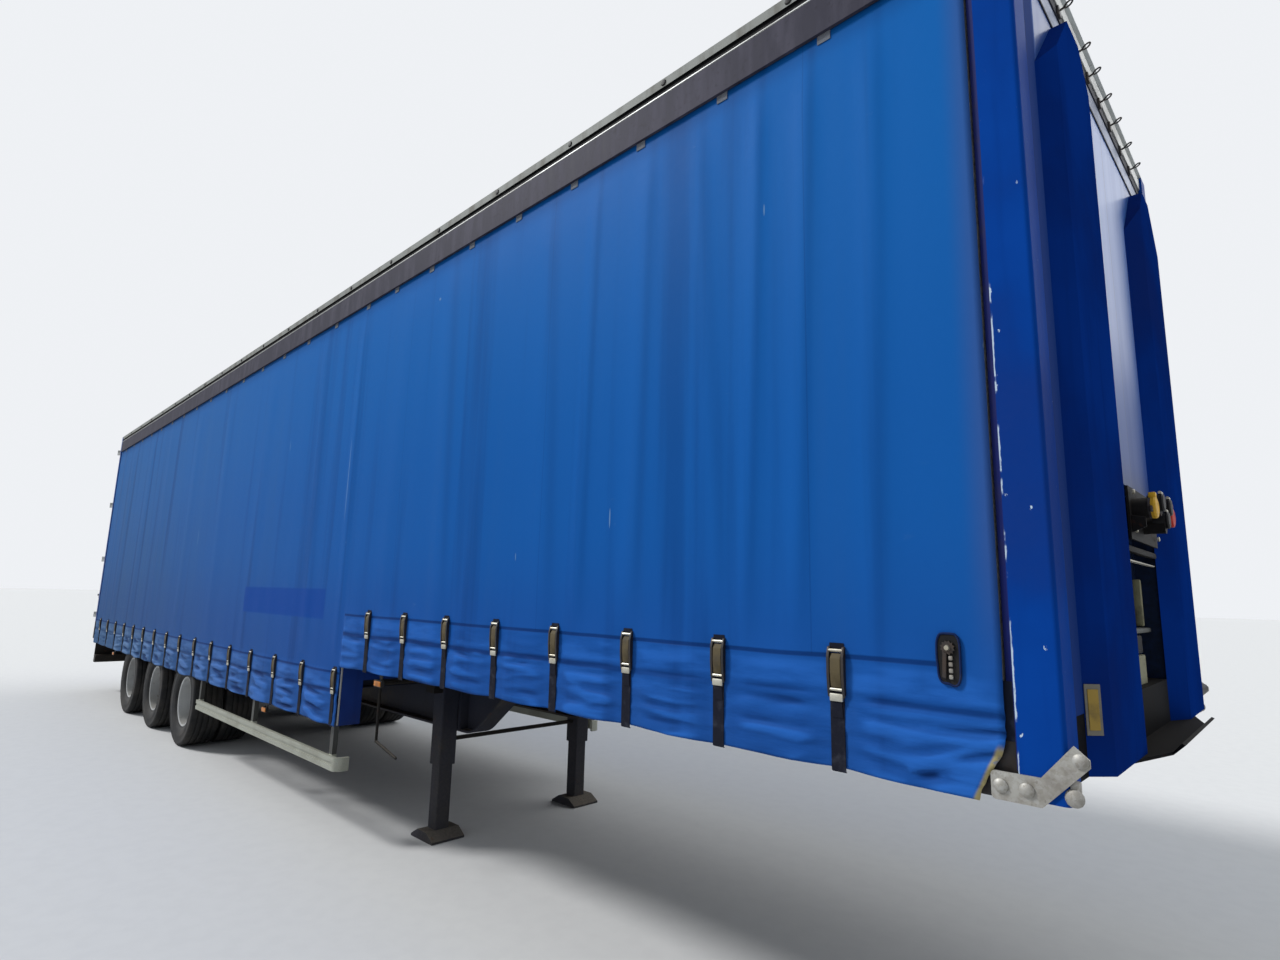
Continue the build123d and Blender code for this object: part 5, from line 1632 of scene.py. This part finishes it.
@dataclass
class FrontTrim:
    """Hooks on the front header, joint lines, blank plate, a seal, and dark strips painted as shade under the header
    rail and in the gaps beside the posts.
    """

    layout: Layout
    rail_top: float
    header_x: float
    wall_half: float = 1.139
    hook_drop: float = 0.088
    hook_ys: tuple[float, ...] = (-0.95, -0.75, -0.55, -0.26, -0.07, 0.15, 0.37, 0.62, 0.85)
    ring_points: int = 8
    seal_z: float = 3.766
    post_low: float = 1.150
    post_high: float = 3.826

    def hooks(self) -> Piece:
        """Small wire rings that stand forward on dark bases.

        Returns:
            The row of hooks.
        """
        x, z = self.header_x, self.rail_top - self.hook_drop
        base = Shop.block((x - 0.001, -0.020, z - 0.024), (x + 0.014, 0.020, z + 0.016), DARK_STEEL, 0.004)
        bend = [(x + 0.010, 0, z), (x + 0.022, 0, z + 0.002), (x + 0.030, 0, z + 0.006)]
        stem = Shop.wire(bend, 0.0045, DARK_STEEL)
        ring = []
        for k in range(self.ring_points):
            cosine, sine = math.cos(math.tau * k / self.ring_points), math.sin(math.tau * k / self.ring_points)
            ring.append((x + 0.044 + 0.015 * cosine, 0.012 * sine, z + 0.012 + 0.008 * cosine))
        pattern = Shop.join([base, stem, Shop.wire(ring, 0.0035, DARK_STEEL, True)], "hook_pattern")
        return Shop.join(Shop.spread(pattern, [(0, y, 0) for y in self.hook_ys]), "header_hooks")

    def lines(self) -> Piece:
        """Dark seal under the header, a dark strip painted as the shade of the channel under its rail, and the rail's
        rolled edge.

        Returns:
            The three strips as one piece.
        """
        half, wall, x, low = self.wall_half, self.layout.front + 0.120, self.header_x, self.rail_top - 0.075
        seal_z = self.seal_z
        seal = Moulding("seal_black", tint(14, 18, 34), rough=0.6)
        rail = ((x - 0.02, low), (x + 0.010, low), (x + 0.012, self.rail_top - 0.018),
                (x + 0.004, self.rail_top - 0.004), (x - 0.02, self.rail_top - 0.002))
        pieces = [
            Shop.block((wall - 0.004, -half, seal_z), (wall + 0.004, half, seal_z + 0.012), seal, 0.0015, 1),
            Shop.prism(at_y(-half, rail), (0, 2 * half, 0), ALUMINIUM, 0.0015),
            # Dark strip under the rail: painted shade of the channel.
            Shop.block((x - 0.004, -half, low - 0.044), (x + 0.005, half, low - 0.001), seal, 0.0015, 1),
        ]
        return Shop.join(pieces, "header_trim")

    def plate(self) -> Piece:
        """Blank plate with a grey frame on the column's slanted face.

        Returns:
            The plate in its frame.
        """
        face = Moulding("plate_ochre", tint(150, 124, 56), dirty=0.5, rough=0.5)
        edge = Moulding("plate_frame", tint(112, 108, 98), dirty=0.4, rough=0.5)
        base, tip = Vector((6.8335, -1.050, 0)), Vector((6.8885, -0.985, 0))
        along = (tip - base).normalized()
        out = Vector((along.y, -along.x, 0))
        pieces = []
        for start, end, low, high, lift, finish in (
            (0.002, 0.052, 1.320, 1.460, 0.0, edge), (0.010, 0.043, 1.334, 1.446, 0.002, face),
        ):
            corner = ((start, low), (end, low), (end, high), (start, high))
            points = [base + along * d + out * lift + Vector((0, 0, z)) for d, z in corner]
            pieces.append(Shop.prism(points, out * 0.003, finish, 0.0008))
        return Shop.join(pieces, "blank_plate")

    def corners(self) -> Piece:
        """Pole shoes, navy strips painted as the shade in the gap between curtain and post, and round bolts of the
        foot bars.

        Returns:
            Both corners as one piece.
        """
        # Navy strips that close the gap between the curtain and the post, coloured as the gap's shade.
        seal = Moulding("post_gap_shade", tint(8, 24, 92), rough=0.6)
        x, face, high = self.layout.front, self.layout.side_face, self.post_high
        pieces = [
            Shop.block((x - 0.135, -1.226, self.post_low), (x - 0.001, -1.196, 1.308), DARK_STEEL, 0.004),
            Shop.block((x - 0.027, -1.2295, 1.306), (x - 0.001, -1.2200, high), seal),
            Shop.block((x - 0.004, -1.2515, 1.234), (x - 0.0005, -1.2300, high), seal, 0.001, 1),
        ]
        head = ((0.0, 0.020), (-0.004, 0.019), (-0.009, 0.013), (-0.011, 0.0))
        bolt = Shop.turned(head, (0, 0, 0), Axis.Y, FOOT_STEEL, 16)
        large = Shop.copy(bolt, (x + 0.128, -face + 0.006, 1.190), Matrix.Scale(1.2, 4))
        places = ((x - 0.045, 1.190), (x + 0.150, 1.285), (x + 0.020, 1.190))
        pieces += [*Shop.spread(bolt, at_y(-face - 0.0055, places)), large]
        lug = (x + 0.119, -face + 0.004, 1.166), (x + 0.137, -face + 0.050, 1.226)
        pieces.append(Shop.block(*lug, FOOT_STEEL, 0.004))
        return Shop.both_sides(Shop.join(pieces, "front_corner"), "front_corners")

    def dress(self) -> None:
        """Puts the front trim on the trailer."""
        report(self.hooks(), "trailer")
        report(self.lines(), "trailer")
        report(self.plate(), "trailer")
        report(self.corners(), "trailer")


@dataclass
class CouplingSet:
    """Air heads, electric sockets with flaps, valves and pipe on the front wall."""

    layout: Layout
    panel_x: float = 6.861
    z: float = 2.050
    air_y: float = 0.200
    air_out: float = 0.070
    socket_y: float = 0.090
    socket_step: float = 0.030
    socket_out: float = 0.072
    wall_out: float = 0.040

    def air_head(self, y: float, finish: Finish) -> list[Piece]:
        """Cast coupling head with its coloured cover.

        Args:
            y: Place across the trailer.
            finish: Finish of the cover.

        Returns:
            The pieces.
        """
        x, z = self.panel_x + self.air_out, self.z
        body = (
            (0.0, 0.0385), (-0.020, 0.0395), (-0.030, 0.030), (-0.060, 0.026), (-0.070, 0.032),
        )
        cover = (
            (-0.012, 0.0400), (-0.002, 0.0415), (0.004, 0.038), (0.007, 0.026), (0.004, 0.018), (0.005, 0.0),
        )
        return [
            Shop.turned(body, (x, y, z), Axis.X, DARK_STEEL, 28),
            Shop.turned(cover, (x, y, z), Axis.X, finish, 28),
            Shop.block((x - 0.020, y - 0.012, z + 0.034), (x + 0.004, y + 0.012, z + 0.058), finish, 0.004),
            Shop.block((x - 0.016, y - 0.050, z - 0.020), (x - 0.004, y + 0.050, z + 0.004), DARK_STEEL, 0.004),
        ]

    def socket(self, y: float, z: float) -> list[Piece]:
        """Round electric socket with its spring flap.

        Args:
            y: Place across the trailer.
            z: Height.

        Returns:
            The pieces.
        """
        x = self.panel_x + self.socket_out
        black = Moulding("socket_black", tint(24, 24, 26), rough=0.5)
        rim = ((-0.040, 0.033), (-0.020, 0.035), (0.0, 0.0345), (0.002, 0.031), (-0.004, 0.0285), (-0.006, 0.0))
        flap = ((0.000, 0.0335), (0.005, 0.0345), (0.010, 0.030), (0.012, 0.0))
        hinge = ((-0.020, 0.006), (0.020, 0.006))
        return [
            Shop.turned(rim, (x, y, z), Axis.X, black, 24),
            Shop.turned(flap, (x + 0.002, y, z), Axis.X, black, 24),
            Shop.turned(hinge, (x + 0.002, y, z + 0.038), Axis.Y, ZINC, 10),
        ]

    def boxes(self) -> list[Piece]:
        """Valves, brackets and a pipe between the panel and the nose.

        Returns:
            The pieces.
        """
        grey = Moulding("box_grey", tint(92, 94, 92), dirty=0.6, rough=0.6)
        sand = Moulding("box_sand", tint(124, 122, 96), dirty=0.6, rough=0.6)
        # Lowest and highest corner, with X from the wall.
        table = (
            ((0, -0.370, 1.560), (0.070, -0.180, 1.840), BLACK), ((0, -0.200, 1.300), (0.050, 0.150, 1.490), sand),
            ((0, -0.210, 1.574), (0.040, 0.780, 1.594), grey), ((0, 0.300, 1.600), (0.030, 0.330, 1.800), sand),
            ((0, -0.190, 1.496), (0.045, 0.140, 1.566), BLACK),
            ((0.06, -0.395, 1.890), (0.085, 0.395, 1.915), BLACK),
            ((0.06, -0.395, 1.855), (0.076, 0.395, 1.862), ZINC), ((0, -0.140, 1.640), (0.035, -0.090, 1.700), ZINC),
        )
        wall = Vector((self.layout.front + self.wall_out, 0, 0))
        return [Shop.block(wall + Vector(low), wall + Vector(high), finish, 0.006) for low, high, finish in table]

    def dress(self) -> None:
        """Builds the heads, sockets, bracket, boxes and panel bolts."""
        x, z = self.panel_x, self.z
        pieces = self.air_head(-self.air_y, Moulding("air_yellow", tint(206, 160, 40), dirty=0.35, rough=0.45))
        pieces += self.air_head(self.air_y, Moulding("air_red", tint(176, 42, 30), dirty=0.35, rough=0.45))
        for y, step in ((-self.socket_y, 1), (0.0, -1), (self.socket_y, 1)):
            pieces += self.socket(y, z + step * self.socket_step)
        ear = ((x, z - 0.095), (x + 0.045, z - 0.075), (x + 0.045, z - 0.040), (x, z - 0.030))
        pieces.append(Shop.prism(at_y(-0.262, ear), (0, 0.008, 0), BLACK, 0.001))
        pieces += self.boxes()
        head = ((0.0, 0.010), (0.006, 0.010), (0.008, 0.007))
        for y in (-0.24, 0.24):
            for bolt_z in (z - 0.085, z + 0.060):
                pieces.append(Shop.turned(head, (x + 0.0075, y, bolt_z), Axis.X, ZINC, 6, 25))
        report(Shop.join(pieces, "couplings"), "trailer")


@dataclass
class RearDoor:
    """Seals, lever handles, bolts and reflectors of one rear door."""

    hand: Hand
    low: Vector
    high: Vector
    rods: tuple[float, ...] = (0.300, 0.930)
    lever_z: float = 1.480
    seal_width: float = 0.012
    hinge_rows: int = 4
    hinge_end: float = 0.150
    hinge_ys: tuple[float, ...] = (0.135, 0.095, 0.055)

    def dress(self) -> None:
        """Builds the door's fittings on its outer face."""
        face, low, high, lever_z, wide = self.low.x, self.low.z, self.high.z, self.lever_z, self.seal_width
        near, far = sorted((abs(self.low.y), abs(self.high.y)))
        seal, grip_black = Rubber("seal_rubber", dusting=0.35), Moulding("grip_black", tint(30, 30, 32), rough=0.6)
        back, out = face + 0.006, face - 0.003
        pieces = []
        for z in (low + 0.008, high - 0.020):
            pieces.append(Shop.block((out, near + 0.004, z), (back, far - 0.004, z + wide), seal))
        for y in (near + 0.003, far - 0.015):
            pieces.append(Shop.block((out, y, low + 0.010), (back, y + wide, high - 0.010), seal))
        for y in self.rods:
            grip = [(face - dx, y + dy, lever_z)
                    for dx, dy in ((0.027, 0.195), (0.0285, 0.215), (0.0285, 0.275), (0.027, 0.320))]
            holder = ((face - 0.004, lever_z - 0.055), (face - 0.030, lever_z - 0.040),
                      (face - 0.030, lever_z - 0.018), (face - 0.004, lever_z + 0.045))
            pieces.append(Shop.wire(grip, 0.0095, grip_black))
            pieces.append(Shop.prism(at_y(y + 0.285, holder), (0, 0.030, 0), GALVANISED, 0.002))
        head = ((0.0, 0.009), (-0.005, 0.009), (-0.007, 0.006))
        rise = (high - low - 2 * self.hinge_end) / (self.hinge_rows - 1)
        heights = [low + self.hinge_end + rise * k + 0.040 for k in range(self.hinge_rows)]
        pieces += Shop.spread(
            Shop.turned(head, (0, 0, 0), Axis.X, ZINC, 6, 25),
            [(face - 0.0095, far - y, z) for z in heights for y in self.hinge_ys],
        )
        red = Moulding("reflector_red", tint(150, 26, 24), rough=0.25, ribbed=40.0, coat=0.5)
        ends = (face - 0.004, near + 0.22, low + 0.012), (back, far - 0.22, low + 0.050)
        pieces.append(Shop.block(*ends, red, 0.002))
        made = Shop.join(pieces, f"door_fittings_{self.hand.word}", self.hand is Hand.RIGHT)
        report(made, f"door_{self.hand.word}")


@dataclass
class Lighting:
    """Lenses of the rear clusters and side markers."""

    layout: Layout
    cluster_y: float = 0.950
    cluster_z: float = 0.690
    cluster_half: float = 0.052
    back: float = 0.040
    marker_rows: tuple[tuple[float, float], ...] = ((2.923, 1.055), (0.953, 0.650), (-5.287, 0.650))
    marker_half: float = 0.043
    marker_ys: tuple[float, float] = (1.2245, 1.2315)

    def dress(self) -> None:
        """Builds the lenses on their housings."""
        red = Moulding("lens_red", tint(168, 22, 20), dirty=0.2, rough=0.14, ribbed=26.0, coat=0.6)
        amber = Moulding("lens_amber", tint(222, 128, 24), dirty=0.2, rough=0.14, ribbed=26.0, coat=0.6)
        clear = Moulding("lens_clear", tint(214, 214, 208), dirty=0.2, rough=0.12, ribbed=26.0, coat=0.6)
        dull = Moulding("lens_marker", tint(184, 112, 42), dirty=0.55, rough=0.3, ribbed=26.0)
        back, half = self.layout.rear - self.back, self.cluster_half
        rear, markers = [], []
        lenses = ((-0.175, -0.060, amber), (-0.055, 0.055, red), (0.060, 0.110, clear), (0.115, 0.175, red))
        for start, end, finish in lenses:
            for side in (1, -1):
                y = sorted((side * (self.cluster_y - start), side * (self.cluster_y - end)))
                low, high = (back - 0.007, y[0], self.cluster_z - half), (back + 0.004, y[1], self.cluster_z + half)
                rear.append(Shop.block(low, high, finish, 0.006, 3))
        for x, z in self.marker_rows:
            for side in (1, -1):
                y = sorted(side * place for place in self.marker_ys)
                low, high = (x - self.marker_half, y[0], z + 0.006), (x + self.marker_half, y[1], z + 0.039)
                markers.append(Shop.block(low, high, dull, 0.004, 3))
        report(Shop.join(rear, "rear_lenses"), "trailer")
        report(Shop.join(markers, "marker_lenses"), "trailer")


@dataclass
class ChassisTrim:
    """Pivot bolts on the hangers and the trim on the step's edge."""

    layout: Layout
    bolt_ahead: float = 0.480
    bolt_z: float = 0.531
    bolt_ys: tuple[float, ...] = (0.5402, -0.4398)
    step_low: float = 0.745
    step_height: float = 0.555

    def dress(self) -> None:
        """Builds the small steel parts of the chassis."""
        head = (
            (0.0, 0.030), (-0.010, 0.030), (-0.012, 0.026), (-0.012, 0.016), (-0.026, 0.016), (-0.028, 0.012),
        )
        bolt = Shop.turned(head, (0, 0, 0), Axis.Y, ZINC, 6, 25)
        pieces = []
        for x in self.layout.axles:
            pieces += [Shop.copy(bolt, (x + self.bolt_ahead, -y, self.bolt_z)) for y in self.bolt_ys]
            pieces += [Shop.copy(bolt, (x + self.bolt_ahead, y, self.bolt_z), FLIP) for y in self.bolt_ys]
        bpy.data.objects.remove(bolt)
        report(Shop.join(pieces, "hanger_bolts"), "trailer")
        start, end, low = self.layout.step + 0.0045, self.layout.step + 0.009, self.step_low
        edge = [(start, -1.2315, low), (end, -1.2315, low), (end, -1.2200, low), (start, -1.2200, low)]
        trim = Shop.prism(edge, (0, 0, self.step_height), ALUMINIUM, 0.001)
        report(Shop.both_sides(trim, "step_trim"), "trailer")


class Studio:
    """Floor, soft light and the camera at the photograph's angle."""

    eye = (7.351, -3.401, 1.675)
    focal_px = 698.1
    photo_width_px = 1280
    sensor_mm = 36.0
    heading = 44.25
    climb = 9.44
    roll = 1.43
    # Name, strength, spread in degrees and direction of each sun.
    suns = (("key", 2.9, 12.0, (0.62, 0.46, -0.64)), ("fill", 0.9, 50.0, (-0.30, -0.70, -0.60)))
    sky_low = (0.34, 0.40, 0.50, 1.0)
    sky_high = (0.88, 0.94, 1.0, 1.0)
    sky_strength = 0.62
    background = (0.86, 0.88, 0.91, 1.0)

    def camera(self) -> None:
        """Places the camera from its eye point and three angles."""
        turn, climb, roll = (math.radians(a) for a in (self.heading, self.climb, self.roll))
        right = Vector((math.cos(turn), math.sin(turn), 0))
        ahead = Vector((-math.sin(turn), math.cos(turn), 0))
        look = ahead * math.cos(climb) + Vector((0, 0, 1)) * math.sin(climb)
        up = Vector((0, 0, 1)) * math.cos(climb) - ahead * math.sin(climb)
        across = right * math.cos(roll) + up * math.sin(roll)
        rise = up * math.cos(roll) - right * math.sin(roll)
        data = bpy.data.cameras.new("camera")
        data.sensor_width = self.sensor_mm
        data.lens = self.focal_px / self.photo_width_px * self.sensor_mm
        data.clip_end = 500.0
        camera = bpy.data.objects.new("camera", data)
        bpy.context.scene.collection.objects.link(camera)
        matrix = Matrix((across, rise, -look)).transposed().to_4x4()
        matrix.translation = self.eye
        camera.matrix_world = matrix
        bpy.context.scene.camera = camera

    def floor(self) -> None:
        """Adds the floor."""
        Shop.clear()
        bpy.ops.mesh.primitive_plane_add(size=400, location=(0, 0, -0.0005))
        floor = bpy.context.object
        floor.name = "floor"
        Shop.tidy(floor, Ground("ground"))
        floor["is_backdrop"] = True

    def light(self) -> None:
        """Adds two wide suns and a pale sky that is brighter overhead."""
        for name, strength, spread, direction in self.suns:
            data = bpy.data.lights.new(name, "SUN")
            data.energy = strength
            data.angle = math.radians(spread)
            lamp = bpy.data.objects.new(name, data)
            lamp.rotation_mode = "QUATERNION"
            lamp.rotation_quaternion = Vector(direction).to_track_quat("-Z", "Y")
            bpy.context.scene.collection.objects.link(lamp)
        world = bpy.data.worlds.new("sky")
        bpy.context.scene.world = world
        g = Graph(world)
        up = g.split(g.node("ShaderNodeTexCoord", output="Generated"))[2]
        sky = g.cover(self.sky_low, (self.sky_high, up.rise(-0.05, 0.75)))
        lit = g.node("ShaderNodeBackground", {}, {"Color": sky, "Strength": self.sky_strength})
        seen = g.node("ShaderNodeBackground", {}, {"Color": self.background, "Strength": 1.0})
        kinds = ("Camera", "Glossy", "Transmission")
        rays = [g.node("ShaderNodeLightPath", output=f"Is {kind} Ray") for kind in kinds]
        shader = g.node("ShaderNodeMixShader", {}, {0: rays[0] + rays[1] + rays[2], 1: lit, 2: seen})
        g.end(shader, "ShaderNodeOutputWorld")
        bpy.context.scene.view_settings.view_transform = "Standard"


# Finishes by a node's name, or by the part of the name that alike nodes share.
NODE_FINISHES: dict[str, Finish] = {
    "main_beams": CHASSIS, "cross_members": CHASSIS, "side_raves": CHASSIS, "rubbing_plate": NOSE_PAINT,
    "kingpin": ZINC, "front_bolster": NOSE_PAINT, "decks": BoardFace("deck_board"), "step_panels": BLUE_PANEL,
    "headboard": GlossPanel("front_wall"), "bulkhead_columns": SHADED_COLUMN_BLUE, "corner_posts": BLUE_POST,
    "post_feet": FOOT_STEEL, "front_header": HEADER, "roof_rails": RailMetal("roof_rail"), "roof_bows": ALUMINIUM,
    "roof_sheet": RoofSkin("roof_skin"), "side_pillars": GALVANISED, "rear_posts": BLUE_DOOR,
    "rear_header": BLUE_DOOR, "rear_sill": CHASSIS, "door_mountings": GALVANISED, "rear_bumper": BLACK,
    "lamps": Moulding("lamp_housing", tint(34, 34, 36), rough=0.5), "axles": BLACK, "suspension_hangers": CHASSIS,
    "trailing_arms": BLACK, "air_bags": BELLOWS, "mud_flaps": RUBBER, "air_tanks": BLACK, "side_guards": GUARD_RAIL,
    "landing_legs": CHASSIS, "leg_crank": BLACK, "coupling_panel": BLACK, "wheel_": RIM, "tyres_": TYRE,
    "_leaf": BLUE_DOOR, "_gear": GALVANISED, "curtain_straps": STRAP, "curtain_": CLOTH,
}


def dress_nodes() -> None:
    """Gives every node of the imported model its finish."""
    for name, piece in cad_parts.items():
        finish = next(finish for key, finish in NODE_FINISHES.items() if key in name)
        for slot in piece.material_slots:
            slot.material = finish.material()
    log.info("finishes on %d nodes", len(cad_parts))


def corners() -> list[list[float]]:
    """Lowest and highest corner of what is shown, as plain lists."""
    return [list(corner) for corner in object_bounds()]


def main() -> None:
    """Builds the classes in order."""
    logging.basicConfig(level=logging.INFO, format="%(name)s: %(message)s")
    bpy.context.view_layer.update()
    layout = Layout()
    rail_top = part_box("roof_rails")[1].z
    header_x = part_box("front_header")[1].x
    studio = Studio()
    studio.camera()
    studio.floor()
    studio.light()
    dress_nodes()
    for hand in Hand:
        Curtain(hand, layout).dress()
        StrapRow(hand, layout).dress()
        Tensioner(hand).dress()
        RearDoor(hand, *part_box(f"door_{hand.word}_leaf")).dress()
    TyrePair(layout).dress()
    WheelTrim(layout).dress()
    AirSprings(layout).dress()
    RoofTrim(layout, rail_top).dress()
    FrontTrim(layout, rail_top, header_x).dress()
    CouplingSet(layout).dress()
    Lighting(layout).dress()
    ChassisTrim(layout).dress()


if __name__ == "__main__":
    main()
